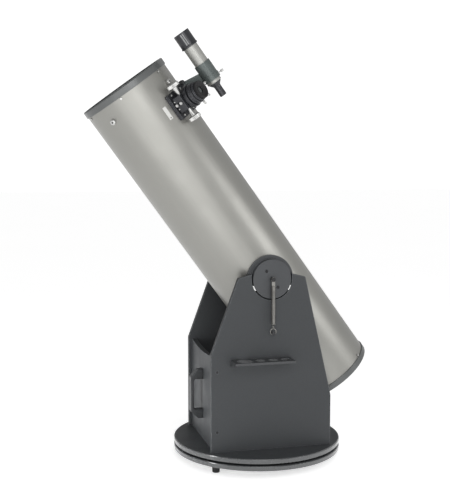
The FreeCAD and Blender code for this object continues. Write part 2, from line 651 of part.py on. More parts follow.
def spider_parts():
    """Four thin vanes, their outside nuts, and the holder of the secondary mirror."""
    hub_r = 20.0
    vane_low, vane_high = SPIDER_S - 14, SPIDER_S + 14
    vanes = [pipe(hub_r, 3.2, 24, (0, 0, SPIDER_S - 12))]
    nuts = []
    for angle in SPIDER_TS:
        vane = block((hub_r - 1, -0.5, vane_low), (TUBE_INNER_R - 3, 0.5, vane_high))
        end = block((TUBE_INNER_R - 9, -4, SPIDER_S - 9), (TUBE_INNER_R - 1.4, 4, SPIDER_S + 9))
        stud = cylinder(2.5, 13, (TUBE_INNER_R - 2, 0, SPIDER_S), (1, 0, 0))
        arm = fuse([vane, end, stud])
        arm.rotate(V(0, 0, 0), V(0, 0, 1), -angle)
        vanes.append(arm)
        nut = pipe(9.0, 2.6, 8.5, around_tube(TUBE_R + 0.3, angle, SPIDER_S), tube_angle(angle))
        nuts.append(nut.makeChamfer(0.8, [e for e in nut.Edges if is_full_circle(e, 9.0)]))
    hub = fuse(vanes)
    for angle in (0, 120, 240):
        hub = hub.cut(cylinder(2.1, 40, polar(13, angle, SPIDER_S - 20)))

    slab = block((-60, -60, 0), (60, 60, 12))
    slab.rotate(V(0, 0, 0), V(0, 1, 0), 135)
    mirror = cylinder(SECONDARY_R, 120, (-60, 0, 0), (1, 0, 0)).common(slab)
    behind = block((-200, -60, 12), (200, 60, 200))
    behind.rotate(V(0, 0, 0), V(0, 1, 0), 135)
    holder = cylinder(SECONDARY_R - 1, 120, (-60, 0, 0), (1, 0, 0)).common(behind)
    holder = holder.cut(block((58, -60, -60), (90, 60, 60)))
    place = side_frame(FOCUSER_T, FOCUSER_S)
    holder_top = FOCUSER_S + 58
    screws = [cylinder(3.0, 40, (0, 0, holder_top - 8)).fuse(
        cylinder(6.5, 4, (0, 0, SPIDER_S + 14)))]
    holder = moved(holder, place).cut(cylinder(3.05, 10, (0, 0, holder_top - 9)))
    for angle in (0, 120, 240):
        x, y, _ = polar(13, angle)
        screws.append(cylinder(2.0, SPIDER_S + 20 - holder_top, (x, y, holder_top)))
    return {"spider_vanes": hub, "spider_knobs": group(nuts), "secondary_holder": holder,
            "secondary_mirror": moved(mirror, place), "secondary_screws": group(screws)}


def blank_plate():
    """Small blank metal plate, rolled to the tube and held by a rivet."""
    low, high = LABEL_S
    half_deg = 2.4
    plate = pipe(TUBE_R + 0.8, TUBE_R + 0.02, high - low, (0, 0, low))
    angles = [math.radians(-(LABEL_T + offset)) for offset in (-half_deg, half_deg)]
    corners = [V(0, 0, low)] + [V(200 * math.cos(a), 200 * math.sin(a), low) for a in angles]
    wedge = Part.Face(Part.makePolygon(corners + corners[:1])).extrude(V(0, 0, high - low))
    plate = plate.common(wedge)
    out = tube_angle(LABEL_T)
    head = cylinder(1.6, 1.3, around_tube(TUBE_R + 0.4, LABEL_T, LABEL_RIVET_S), out)
    shank = cylinder(1.0, 3, around_tube(TUBE_R - 2, LABEL_T, LABEL_RIVET_S), out)
    return fuse([plate, head, shank])


# ---------------------------------------------------------------- focuser (side frame)
SHAFT_R = 3.0
SHAFT_Z = 178.0             # focus shaft, from the tube's axis
DRAW_R = 27.2
SHAFT_Y = DRAW_R + SHAFT_R + 0.03
BLOCK_FACE_Y = 46.0
BLOCK_Z = (153.4, 186.0)
BLOCK_SCREW_XS = (-12.0, 14.0)
BLOCK_SCREW_Z = 158.0
SIDE_SCREW_X = 2.0          # lock and tension thumbscrews on the block's face
LOCK_SCREW_Z = 163.5
TENSION_SCREW_Z = 180.0
HEAD_Z = (187.0, 200.0)     # head ring of the focuser's body
KNOB_X = 52.5
COLLAR_Z = (203.0, 219.0)
COLLAR_SCREW_Z = 211.0
ADAPTER_TOP = 228.0
ADAPTER_SCREW_Z = 224.0
EYEPIECE_TOP = 239.5
COLLAR_SCREW_ANGLE = 199.0
ADAPTER_SCREW_ANGLE = 232.0


def focuser_base():
    """Saddle base on the tube with the focuser's round body and its head ring."""
    low_y, high_y = SADDLE_Y
    base = block((-SADDLE_HALF_X, low_y, 100), (SADDLE_HALF_X, high_y, SADDLE_TOP))
    base = soften(base, 5.0, lambda e: is_line_along(e, 2))
    for edge_y in SADDLE_Y:
        base = base.cut(block((-50, edge_y - 1.5, 146.5), (50, edge_y + 1.5, 149.0)))
    base = base.cut(cylinder(TUBE_R + 0.05, 200, (-100, 0, 0), (1, 0, 0)))
    head_low, head_high = HEAD_Z
    body = cylinder(34.0, head_low + 3 - SADDLE_TOP + 1, (0, 0, SADDLE_TOP - 1))
    head = cylinder(37.5, head_high - head_low, (0, 0, head_low))
    head = soften(head, 1.5, lambda e: is_full_circle(e, 37.5))
    body = fuse([base, body, head])
    body = body.cut(cylinder(DRAW_R + 0.4, 200, (0, 0, 100)))
    body = body.cut(block((-25.3, 22, 163.8), (25.3, 60, BLOCK_Z[1] + 0.4)))
    for x, y in saddle_screw_places():
        body = body.cut(cylinder(2.0, 60, (x, y, 120)))
    return body


def shaft_block():
    """Block that carries the focus shaft across the drawtube."""
    low, high = BLOCK_Z
    face = BLOCK_FACE_Y + 0.5
    foot = block((-25, 20, low), (25, BLOCK_FACE_Y, high)).cut(cylinder(34.3, 60, (0, 0, 140)))
    bridge = block((-25, 30.0, 164.2), (25, BLOCK_FACE_Y, high))
    shape = foot.fuse(bridge).removeSplitter()
    shape = soften(shape, 2.5, lambda e: is_line_along(e, 0) and e.Vertexes[0].Point.y > 45)
    shape = shape.cut(cylinder(DRAW_R + 0.5, 100, (0, 0, 120)))
    shape = shape.cut(cylinder(SHAFT_R + RUN, 60, (-30, SHAFT_Y, SHAFT_Z), (1, 0, 0)))
    for x in BLOCK_SCREW_XS:
        shape = shape.cut(cylinder(1.6, 9, (x, face, BLOCK_SCREW_Z), (0, -1, 0)))
    shape = shape.cut(cylinder(2.1, 9, (SIDE_SCREW_X, face, TENSION_SCREW_Z), (0, -1, 0)))
    return shape.cut(cylinder(2.0 + RUN, 12, (SIDE_SCREW_X, face, LOCK_SCREW_Z), (0, -1, 0)))


def focus_shaft_parts():
    shaft = cylinder(SHAFT_R, 2 * (KNOB_X + 12.5) - 4, (-KNOB_X - 10.5, SHAFT_Y, SHAFT_Z), (1, 0, 0))
    knobs = []
    for side in (-1, 1):
        hub = cone(4.4, 10.0, KNOB_X - 26, (side * 26, SHAFT_Y, SHAFT_Z), (side, 0, 0))
        grip = cylinder(20.0, 12.5, (side * KNOB_X, SHAFT_Y, SHAFT_Z), (side, 0, 0))
        grip = grip.makeChamfer(1.2, [e for e in grip.Edges if is_full_circle(e, 20.0)])
        knob = grip.fuse(hub).removeSplitter()
        knobs.append(knob.cut(shaft))
    return {"focus_shaft": shaft, "focus_knobs": group(knobs)}


def radial_thumbscrew(angle, z, inner_r, head_at, head_r, head_h):
    """Thumbscrew pointing straight out from the focuser's axis, angle measured from +X."""
    direction = polar(1, angle)
    base = polar(inner_r, angle, z)
    return thumbscrew(head_r, head_h, 2.0, head_at - inner_r, base, direction)


def drawtube_parts():
    tube = pipe(DRAW_R, 25.6, COLLAR_Z[0] - 116, (0, 0, 116))
    low, high = COLLAR_Z
    collar = pipe(34.0, 25.6, high - low, (0, 0, low))
    collar = soften(collar, 1.5, lambda e: is_full_circle(e, 34.0))
    collar = collar.cut(cylinder(2.0 + RUN, 20, polar(25, COLLAR_SCREW_ANGLE, COLLAR_SCREW_Z),
                                 polar(1, COLLAR_SCREW_ANGLE)))
    screw_shape = radial_thumbscrew(COLLAR_SCREW_ANGLE, COLLAR_SCREW_Z, 25.8, 39.5, 4.3, 9.5)
    return {"drawtube": tube, "drawtube_collar": collar, "collar_screw": screw_shape}


def eyepiece_parts():
    low = COLLAR_Z[1] + 0.2
    adapter = pipe(25.4, 16.2, 24, (0, 0, low - 24))
    head = pipe(31.0, 16.2, ADAPTER_TOP - low, (0, 0, low))
    adapter = fuse([adapter, head])
    adapter = adapter.cut(cylinder(2.0 + RUN, 20, polar(15, ADAPTER_SCREW_ANGLE, ADAPTER_SCREW_Z),
                                   polar(1, ADAPTER_SCREW_ANGLE)))
    screw_shape = radial_thumbscrew(ADAPTER_SCREW_ANGLE, ADAPTER_SCREW_Z, 16.4, 43.0, 4.3, 9.5)
    low = ADAPTER_TOP + 0.2
    body = lathe([(11.0, low - 26), (15.9, low - 26), (15.9, low), (28.0, low), (28.0, low + 2.5),
                  (26.5, low + 3.2), (29.5, low + 5.0), (29.5, EYEPIECE_TOP - 1.5),
                  (28.0, EYEPIECE_TOP), (24.0, EYEPIECE_TOP), (19.0, EYEPIECE_TOP - 6),
                  (14.0, EYEPIECE_TOP - 7), (11.0, EYEPIECE_TOP - 7)])
    lens = cylinder(11.2, 3, (0, 0, EYEPIECE_TOP - 11))
    return {"eyepiece_adapter": adapter, "adapter_screw": screw_shape,
            "eyepiece": body.fuse(lens).removeSplitter()}


def focus_lock_screw():
    start = (SIDE_SCREW_X, BLOCK_FACE_Y - 9, LOCK_SCREW_Z)
    return {"focus_lock_screw": thumbscrew(5.0, 7.0, 2.0, 13.0, start, (0, 1, 0))}


# ---------------------------------------------------------------- finder (side frame, s = 0)
FINDER_TUBE_R = 24.0
SLEEVE_R = 27.5
SLEEVE_S = (615.0, 678.5)
STALK_HALF_T = 4.5
FINDER_SCREW_S = 624.0
FINDER_SCREW_ANGLES = (7.0, -83.0)      # from straight out, towards the focuser side
PLUNGER_ANGLE = 142.0


def finder_shoe():
    """Dovetail shoe on the tube, with its clamping knob's boss."""
    low, high = SHOE_S
    shoe = block((low, -SHOE_HALF, 140), (high, SHOE_HALF, 165))
    shoe = soften(shoe, 3.0, lambda e: is_line_along(e, 2))
    slot_half = 9.0
    points = [V(low - 1, -slot_half, 155), V(low - 1, slot_half, 155),
              V(low - 1, slot_half - 3, 166), V(low - 1, -slot_half + 3, 166)]
    slot = Part.Face(Part.makePolygon(points + points[:1])).extrude(V(high - low + 2, 0, 0))
    shoe = shoe.cut(slot)
    shoe = shoe.cut(cylinder(TUBE_R + 0.05, 200, (low - 50, 0, 0), (1, 0, 0)))
    for s in SHOE_SCREW_S:
        shoe = shoe.cut(cylinder(2.1, 20, (s, 0, 140)))
    return shoe


def shoe_knob_shape():
    """Clamping knob on the shoe's focuser side, leaning outwards."""
    lean = math.radians(20)
    direction = (0, math.sin(lean), math.cos(lean))
    return thumbscrew(7.5, 9.0, 2.4, 5.5, (SHOE_KNOB_S, SHOE_HALF, 158.0), direction)


def finder_bracket():
    """Stalk with a dovetail foot, and the sleeve that holds the finder."""
    low, high = SLEEVE_S
    foot_low, foot_high = 7.8, 5.7
    rear_s = 614.0
    outline = [V(rear_s, -foot_low, 158.2), V(rear_s, foot_low, 158.2),
               V(rear_s, foot_high, 165.8), V(rear_s, -foot_high, 165.8)]
    foot = Part.Face(Part.makePolygon(outline + outline[:1])).extrude(V(50, 0, 0))
    stalk_points = [V(622, -STALK_HALF_T, 165), V(664, -STALK_HALF_T, 165),
                    V(655, -STALK_HALF_T, 232), V(618, -STALK_HALF_T, 232)]
    stalk = Part.Face(Part.makePolygon(stalk_points + stalk_points[:1])).extrude(
        V(0, 2 * STALK_HALF_T, 0))
    sleeve = cylinder(SLEEVE_R, high - low, (low, 0, FINDER_AXIS_R), (1, 0, 0))
    boss = cylinder(SLEEVE_R + 1.5, 16, (low + 1, 0, FINDER_AXIS_R), (1, 0, 0))
    bracket = fuse([foot, stalk, sleeve, boss])
    bracket = bracket.cut(cylinder(FINDER_TUBE_R + 1.0, 90, (low - 5, 0, FINDER_AXIS_R), (1, 0, 0)))
    rib = block((low + 18, -1.2, FINDER_AXIS_R + SLEEVE_R - 1), (high, 1.2, FINDER_AXIS_R + SLEEVE_R + 0.8))
    rib.rotate(V(0, 0, FINDER_AXIS_R), V(1, 0, 0), -80)
    bracket = bracket.fuse(rib)
    for angle in FINDER_SCREW_ANGLES + (PLUNGER_ANGLE,):
        bracket = bracket.cut(finder_radial(angle, 2.0 + RUN, 20, 20))
    return bracket


def finder_radial(angle, radius, start, length):
    """Cylinder pointing straight out from the finder's axis."""
    theta = math.radians(angle)
    direction = (0, math.sin(theta), math.cos(theta))
    base = (FINDER_SCREW_S, start * direction[1], FINDER_AXIS_R + start * direction[2])
    return cylinder(radius, length, base, direction)


def finder_screws():
    """Two adjusting thumbscrews and the sprung plunger, all in the sleeve."""
    screws = []
    for angle in FINDER_SCREW_ANGLES:
        stem = finder_radial(angle, 2.0, FINDER_TUBE_R + 0.5, 13)
        head = finder_radial(angle, 4.5, FINDER_TUBE_R + 13, 9)
        screws.append(stem.fuse(head).removeSplitter())
    plunger = finder_radial(PLUNGER_ANGLE, 2.0, FINDER_TUBE_R + 0.5, 6)
    housing = finder_radial(PLUNGER_ANGLE, 4.5, SLEEVE_R + 1.6, 9)
    screws.append(plunger.fuse(housing).removeSplitter())
    return group(screws)


def finder_scope():
    axis_r = FINDER_AXIS_R
    tube = pipe(FINDER_TUBE_R, FINDER_TUBE_R - 1.2, 741.5 - 606, (606, 0, axis_r), (1, 0, 0))
    rear_ring = pipe(25.0, 21.0, 7.5, (606, 0, axis_r), (1, 0, 0))
    turn = FreeCAD.Placement(V(0, 0, axis_r), FreeCAD.Rotation(V(0, 1, 0), 90))
    shade = pipe(27.0, 25.0, 792.7 - 741.5, (741.5, 0, axis_r), (1, 0, 0))
    shade = shade.fuse(pipe(28.4, 21.5, 6.0, (741.5, 0, axis_r), (1, 0, 0))).removeSplitter()
    lens = cylinder(24.9, 6.0, (747.8, 0, axis_r), (1, 0, 0))
    dome = Part.makeSphere(60.0, V(753.8 - 60.0 + 2.0, 0, axis_r))
    lens = lens.common(dome)
    ocular = lathe([(0.0, 555.6), (9.0, 555.6), (11.5, 555.6), (11.5, 592.0), (13.0, 594.0),
                    (21.5, 603.0), (21.5, 605.8), (0.0, 605.8)])
    ocular = moved(ocular, turn)
    ocular = ocular.cut(cylinder(8.5, 6.0, (555.0, 0, axis_r), (1, 0, 0)))
    return {"finder_tube": tube.fuse(rear_ring).removeSplitter(), "finder_shade": shade,
            "finder_lens": lens, "finder_eyepiece": ocular}


def tube_parts():
    """Every part on the optical tube, in the upright tube frame."""
    parts = {"main_tube": main_tube(),
             "front_ring": end_ring(TUBE_FRONT, 731.0, False),
             "rear_ring": end_ring(TUBE_REAR, -407.0, True),
             "tube_screws": tube_screws(),
             "altitude_bearings": altitude_bearings(),
             "altitude_bolts": altitude_bolts(),
             "mirror_cell": mirror_cell(),
             "blank_plate": blank_plate()}
    parts.update(mirror_parts())
    parts.update(collimation_knobs())
    parts.update(spider_parts())
    focuser = {"focuser_base": focuser_base(), "shaft_block": shaft_block()}
    focuser.update(focus_shaft_parts())
    focuser.update(drawtube_parts())
    focuser.update(eyepiece_parts())
    focuser.update(focus_lock_screw())
    finder = {"finder_shoe": finder_shoe().fuse(shoe_knob_shape()),
              "finder_bracket": finder_bracket(), "finder_screws": finder_screws()}
    finder.update(finder_scope())
    for name, shape in focuser.items():
        parts[name] = moved(shape, side_frame(FOCUSER_T, FOCUSER_S))
    for name, shape in finder.items():
        parts[name] = moved(shape, side_frame(FINDER_T, 0.0))
    return parts


# ---------------------------------------------------------------- build
def build():
    parts = {}
    parts.update(ground_parts())
    parts.update(turntable_bearing())
    parts.update(azimuth_knob())
    parts.update(rocker_parts())
    for name, shape in tube_parts().items():
        parts[name] = moved(shape, TUBE_PLACE)
    return parts


os.makedirs("parts", exist_ok=True)
for part_name, part_shape in build().items():
    part_shape.exportStep("parts/%s.step" % part_name)
    box = part_shape.BoundBox
    print("%-22s solids %2d valid %s  volume %.1f cm3  z %.1f..%.1f" % (
        part_name, len(part_shape.Solids), part_shape.isValid(), part_shape.Volume / 1000,
        box.ZMin, box.ZMax))
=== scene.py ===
"""Looks of a dobsonian reflector telescope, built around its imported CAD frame.

The scene is in metres, +Z up, in the frame of the CAD. Shapes of the detailed pieces are drawn
in millimetres in a local frame, and the frame's matrix brings them to metres.
"""
import json
import math

import bpy
from mathutils import Matrix, Vector
from mathutils.geometry import tessellate_polygon


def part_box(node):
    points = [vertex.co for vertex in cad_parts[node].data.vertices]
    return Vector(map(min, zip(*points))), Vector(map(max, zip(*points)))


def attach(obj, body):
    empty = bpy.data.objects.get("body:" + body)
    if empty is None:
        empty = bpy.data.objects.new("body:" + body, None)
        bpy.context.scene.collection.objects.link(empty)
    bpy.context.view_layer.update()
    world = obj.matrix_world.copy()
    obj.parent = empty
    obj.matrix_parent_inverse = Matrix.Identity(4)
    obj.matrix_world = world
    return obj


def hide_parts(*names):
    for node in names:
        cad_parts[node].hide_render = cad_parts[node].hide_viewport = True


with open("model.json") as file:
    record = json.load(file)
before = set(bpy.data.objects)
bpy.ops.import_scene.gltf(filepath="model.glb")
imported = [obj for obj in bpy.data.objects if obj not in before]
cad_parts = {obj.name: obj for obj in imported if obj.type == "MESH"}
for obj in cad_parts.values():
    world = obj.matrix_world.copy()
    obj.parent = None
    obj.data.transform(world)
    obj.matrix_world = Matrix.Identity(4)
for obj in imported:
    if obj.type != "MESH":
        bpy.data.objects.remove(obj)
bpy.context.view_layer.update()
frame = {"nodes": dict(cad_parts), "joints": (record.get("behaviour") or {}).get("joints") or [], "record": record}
NODES = frame["nodes"]
JOINTS = {joint["name"]: joint for joint in frame["joints"]}
MM = 0.001
SHARP_ANGLE = math.radians(35.0)    # edges steeper than this stay crisp under smooth shading
BEVEL_SAMPLES = 6

# The mix node has one set of sockets for numbers and one for colours.
NUMBER_A = 2
NUMBER_B = 3
NUMBER_RESULT = 0
COLOUR_A = 6
COLOUR_B = 7
COLOUR_RESULT = 2

# ---------------------------------------------------------------- frames
PIVOT = Vector(JOINTS["altitude_tilt"]["pos_m"])
FORWARD = Vector(JOINTS["finder_slide"]["axis"]).normalized()
ACROSS = Vector(JOINTS["altitude_tilt"]["axis"]).normalized()
TOPSIDE = ACROSS.cross(FORWARD)
TUBE_R = 150.0              # optical tube, outside, in millimetres
TUBE_BORE_R = 148.8
FOCUSER_T = 45.0            # directions around the tube, in degrees from its top side
FINDER_T = 20.0
FOCUSER_S = 619.0           # places along the tube from the altitude axis, in millimetres
FINDER_AXIS_R = 250.0
PLATE_T = 74.0
PLATE_RIVET_S = 602.0
SPIDER_S = 694.0
CELL_LOCK_S = -436.0
CELL_LOCK_R = 76.0
RING_SCREW_T = 49.5
RING_SCREW_S = (738.0, -414.0)
SHOE_SCREW_S = (612.0, 654.0)
FINDER_SCREW_S = 624.0
BOX_HALF_W = 175.0          # rocker box, outside of its boards
PANEL_X = -182.0            # front panel, middle of its thickness
SPRING_Y = 190.0
SPRING_POST_Z = 452.0


def out_of_tube(degrees):
    """Direction straight out of the tube, turned around it from its top side."""
    angle = math.radians(degrees)
    return TOPSIDE * math.cos(angle) - ACROSS * math.sin(angle)


def frame_matrix(x_axis, y_axis, z_axis, origin):
    """Matrix from a local frame in millimetres to the row frame in metres."""
    matrix = Matrix((x_axis * MM, y_axis * MM, z_axis * MM)).transposed().to_4x4()
    matrix.translation = origin
    return matrix


def side_frame(degrees, s):
    """X runs forward along the tube, Y around it and Z straight out of it."""
    out = out_of_tube(degrees)
    return frame_matrix(FORWARD, out.cross(FORWARD), out, PIVOT + FORWARD * s * MM)


def aim(base, direction):
    """Frame whose Z points along a direction; base in metres."""
    z_axis = Vector(direction).normalized()
    helper = Vector((0, 0, 1)) if abs(z_axis.z) < 0.9 else Vector((1, 0, 0))
    x_axis = helper.cross(z_axis).normalized()
    return frame_matrix(x_axis, z_axis.cross(x_axis), z_axis, Vector(base))


def local(place, point, direction):
    """A frame inside another one: Z along direction at point, both in its millimetres."""
    turn = place.to_3x3()
    return aim(place @ Vector(point), turn @ Vector(direction))


ROW_MM = Matrix.Scale(MM, 4)
FOCUSER = side_frame(FOCUSER_T, FOCUSER_S)
FINDER = side_frame(FINDER_T, 0.0)
FOCUSER_AXIS = local(FOCUSER, (0, 0, 0), (0, 0, 1))


# ---------------------------------------------------------------- mesh tools
class Shape:
    """Collects simple solids into one mesh."""

    def __init__(self):
        self.points = []
        self.faces = []

    def add(self, points, faces, place):
        """Add points, brought to metres by place, and the faces between them."""
        start = len(self.points)
        self.points.extend(place @ Vector(point) for point in points)
        self.faces.extend([index + start for index in face] for face in faces)

    def lathe(self, profile, place, segments=48, ribs=0, depth=0.0, closed=False):
        """Turn (radius, height, ribbed) points about Z; ribbed points are knurled by depth."""
        rows = []
        points = []
        for entry in profile:
            radius, height = entry[0], entry[1]
            ribbed = len(entry) > 2
            row = []
            for step in range(segments):
                angle = 2 * math.pi * step / segments
                wave = depth * (0.5 - 0.5 * math.cos(ribs * angle)) if ribbed else 0.0
                row.append(len(points))
                points.append(((radius - wave) * math.cos(angle), (radius - wave) * math.sin(angle), height))
            rows.append(row)
        faces = []
        nexts = rows[1:] + rows[:1] if closed else rows[1:]
        for low, high in zip(rows, nexts):
            for step in range(segments):
                after = (step + 1) % segments
                faces.append((low[step], low[after], high[after], high[step]))
        if not closed:
            faces.append(tuple(reversed(rows[0])))
            faces.append(tuple(rows[-1]))
        self.add(points, faces, place)

    def prism(self, outline, low, high, place):
        """Extrude an outline of (x, y) points along Z."""
        count = len(outline)
        points = [(x, y, low) for x, y in outline] + [(x, y, high) for x, y in outline]
        faces = [(i, (i + 1) % count, count + (i + 1) % count, count + i) for i in range(count)]
        faces.append(tuple(reversed(range(count))))
        faces.append(tuple(range(count, 2 * count)))
        self.add(points, faces, place)

    def sweep(self, path, radius, sides=8, closed=False, place=Matrix()):
        """A round wire along a path of points."""
        path = [Vector(point) for point in path]
        count = len(path)
        points = []
        normal = None
        for index, here in enumerate(path):
            after = path[(index + 1) % count] if closed or index < count - 1 else here
            before = path[index - 1] if closed or index > 0 else here
            tangent = (after - before).normalized()
            if normal is None:
                normal = tangent.orthogonal()
            normal = (normal - tangent * normal.dot(tangent)).normalized()
            side = tangent.cross(normal)
            for step in range(sides):
                angle = 2 * math.pi * step / sides
                points.append(here + (normal * math.cos(angle) + side * math.sin(angle)) * radius)
        faces = []
        for index in range(count if closed else count - 1):
            after = (index + 1) % count
            for step in range(sides):
                turn = (step + 1) % sides
                faces.append((index * sides + step, index * sides + turn,
                              after * sides + turn, after * sides + step))
        if not closed:
            faces.append(tuple(reversed(range(sides))))
            faces.append(tuple(range((count - 1) * sides, count * sides)))
        self.add(points, faces, place)

    def build(self, name, material, body, replaces=()):
        """Make the object and let it ride on its body."""
        mesh = bpy.data.meshes.new(name)
        mesh.from_pydata([tuple(point) for point in self.points], [], self.faces)
        mesh.validate()
        mesh.shade_smooth()
        mesh.set_sharp_from_angle(angle=SHARP_ANGLE)
        mesh.materials.append(material)
        piece = bpy.data.objects.new(name, mesh)
        bpy.context.scene.collection.objects.link(piece)
        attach(piece, body)
        if replaces:
            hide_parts(*replaces)
        return piece


def rounded(profile, radius):
    """Replace each inner corner of an open outline by a small arc."""
    result = [profile[0]]
    for before, here, after in zip(profile, profile[1:], profile[2:]):
        corner = Vector(here[:2])
        one = Vector(before[:2]) - corner
        two = Vector(after[:2]) - corner
        reach = min(radius, one.length * 0.45, two.length * 0.45)
        start = corner + one.normalized() * reach
        end = corner + two.normalized() * reach
        middle = corner * 0.5 + (start + end) * 0.25
        flag = tuple(here[2:])
        result.extend((point.x, point.y) + flag for point in (start, middle, end))
    result.append(profile[-1])
    return result


def circle(radius, count, z=0.0):
    """Points of a circle about Z."""
    step = 2 * math.pi / count
    return [(radius * math.cos(step * i), radius * math.sin(step * i), z) for i in range(count)]


def cross_outline(size, width):
    """Outline of a cross recess."""
    arm = [(size, -width), (size, width), (width, width)]
    outline = []
    for quarter in range(4):
        angle = math.pi / 2 * quarter
        for x, y in arm:
            outline.append((x * math.cos(angle) - y * math.sin(angle),
                            x * math.sin(angle) + y * math.cos(angle)))
    return outline


def recessed_head(shape, place, head_r, head_h, shank_r, shank_len, hexagon=False):
    """Screw head with a cross or hexagon recess, its seat at Z 0 and its shank below."""
    rim = head_r * 0.8
    side = [(head_r, 0.0), (head_r, head_h * 0.45), (head_r * 0.95, head_h * 0.8), (rim, head_h)]
    segments = 28
    points = []
    for radius, z in side:
        points.extend(circle(radius, segments, z))
    faces = []
    for row in range(len(side) - 1):
        for step in range(segments):
            after = (step + 1) % segments
            faces.append((row * segments + step, row * segments + after,
                          (row + 1) * segments + after, (row + 1) * segments + step))
    if hexagon:
        hole = [(x, y) for x, y, _ in circle(head_r * 0.5, 6)]
    else:
        hole = cross_outline(head_r * 0.52, head_r * 0.13)
    top = [Vector(point) for point in circle(rim, segments, head_h)]
    inner = [Vector((x, y, head_h)) for x, y in hole]
    start = len(points)
    last_ring = start - segments
    points.extend(inner)
    for face in tessellate_polygon([top, inner]):
        faces.append([last_ring + i if i < segments else start + i - segments for i in face])
    floor_z = head_h * 0.35
    deep = len(points)
    points.extend((x, y, floor_z) for x, y in hole)
    count = len(hole)
    for step in range(count):
        after = (step + 1) % count
        faces.append((start + step, start + after, deep + after, deep + step))
    faces.append(tuple(deep + step for step in range(count)))
    faces.append(tuple(reversed(range(segments))))
    shape.add(points, faces, place)
    shape.lathe([(shank_r, -shank_len), (shank_r, 0.0)], place, segments=16)


def thumbscrew(shape, place, head_r, head_h, stem_r, stem_len, ribs=30):
    """Knurled screw: a stem up from Z 0, its head at the far end with a collar and a face dish."""
    neck = stem_r * 1.7
    base = stem_len
    top = stem_len + head_h
    profile = [(stem_r, 0.0), (stem_r, base - 1.2), (neck, base - 1.0), (neck, base),
               (head_r - 0.7, base), (head_r, base + 0.7, 1), (head_r, top - 0.7, 1),
               (head_r - 0.7, top), (head_r * 0.62, top), (head_r * 0.55, top - 0.5),
               (0.01, top - 0.5)]
    shape.lathe(profile, place, segments=ribs * 4, ribs=ribs, depth=0.45)


# ---------------------------------------------------------------- material tools
def shade(colour, factor):
    """A colour made lighter or darker, with its alpha."""
    return tuple(min(1.0, channel * factor) for channel in colour[:3]) + (1.0,)


class Surface:
    """A node material over the object's own coordinates, in metres."""

    def __init__(self, name, roughness, metallic=0.0, specular=0.5, coat=0.0, coat_roughness=0.1):
        self.material = bpy.data.materials.new(name)
        self.material.use_nodes = True
        self.tree = self.material.node_tree
        self.shader = self.tree.nodes["Principled BSDF"]
        self.shader.inputs["Roughness"].default_value = roughness
        self.shader.inputs["Metallic"].default_value = metallic
        self.shader.inputs["Specular IOR Level"].default_value = specular
        self.shader.inputs["Coat Weight"].default_value = coat
        self.shader.inputs["Coat Roughness"].default_value = coat_roughness
        self.roughness = roughness
        self.coordinates = self.node("ShaderNodeTexCoord").outputs["Object"]

    def node(self, kind, **settings):
        """A new node with the given settings."""
        made = self.tree.nodes.new(kind)
        for key, value in settings.items():
            setattr(made, key, value)
        return made

    def link(self, source, target):
        self.tree.links.new(source, target)

    def noise(self, scale, detail=3.0):
        """Noise value from 0 to 1."""
        texture = self.node("ShaderNodeTexNoise")
        texture.inputs["Scale"].default_value = scale
        texture.inputs["Detail"].default_value = detail
        self.link(self.coordinates, texture.inputs["Vector"])
        return texture.outputs["Fac"]

    def spread(self, value, low, high, start=0.3, end=0.7):
        """Map a value to a range."""
        span = self.node("ShaderNodeMapRange")
        span.inputs["From Min"].default_value = start
        span.inputs["From Max"].default_value = end
        span.inputs["To Min"].default_value = low
        span.inputs["To Max"].default_value = high
        self.link(value, span.inputs["Value"])
        return span.outputs["Result"]

    def mix(self, factor, one, two):
        """Mix two colours, each a tuple or a socket."""
        mixer = self.node("ShaderNodeMix", data_type="RGBA")
        self.link(factor, mixer.inputs["Factor"])
        for socket, value in ((mixer.inputs[COLOUR_A], one), (mixer.inputs[COLOUR_B], two)):
            if isinstance(value, tuple):
                socket.default_value = value
            else:
                self.link(value, socket)
        return mixer.outputs[COLOUR_RESULT]

    def edge_highlight_mask(self, width_mm):
        """1 near sharp edges and 0 elsewhere, from the angle to a rounded normal; it marks where a highlight is
        painted along edges.
        """
        bevel = self.node("ShaderNodeBevel", samples=BEVEL_SAMPLES)
        bevel.inputs["Radius"].default_value = width_mm * MM
        geometry = self.node("ShaderNodeNewGeometry")
        dot = self.node("ShaderNodeVectorMath", operation="DOT_PRODUCT")
        self.link(bevel.outputs["Normal"], dot.inputs[0])
        self.link(geometry.outputs["Normal"], dot.inputs[1])
        return self.spread(dot.outputs["Value"], 1.0, 0.0, 0.85, 0.998)

    def colour(self, socket):
        """Take the surface colour from a socket."""
        self.link(socket, self.shader.inputs["Base Color"])

    def rough(self, value, spread):
        """Let the roughness wander by spread to each side of its own value."""
        ranged = self.spread(value, self.roughness - spread, self.roughness + spread)
        self.link(ranged, self.shader.inputs["Roughness"])

    def bump(self, height, distance_mm, strength=0.6, normal=None):
        """Relief of a height in millimetres, on a given normal or the surface's own."""
        node = self.node("ShaderNodeBump")
        node.inputs["Strength"].default_value = strength
        node.inputs["Distance"].default_value = distance_mm * MM
        self.link(height, node.inputs["Height"])
        if normal is not None:
            self.link(normal, node.inputs["Normal"])
        self.link(node.outputs["Normal"], self.shader.inputs["Normal"])

    def soft_edges(self, width_mm):
        """Rounded normal for the bump to start from."""
        bevel = self.node("ShaderNodeBevel", samples=BEVEL_SAMPLES)
        bevel.inputs["Radius"].default_value = width_mm * MM
        return bevel.outputs["Normal"]


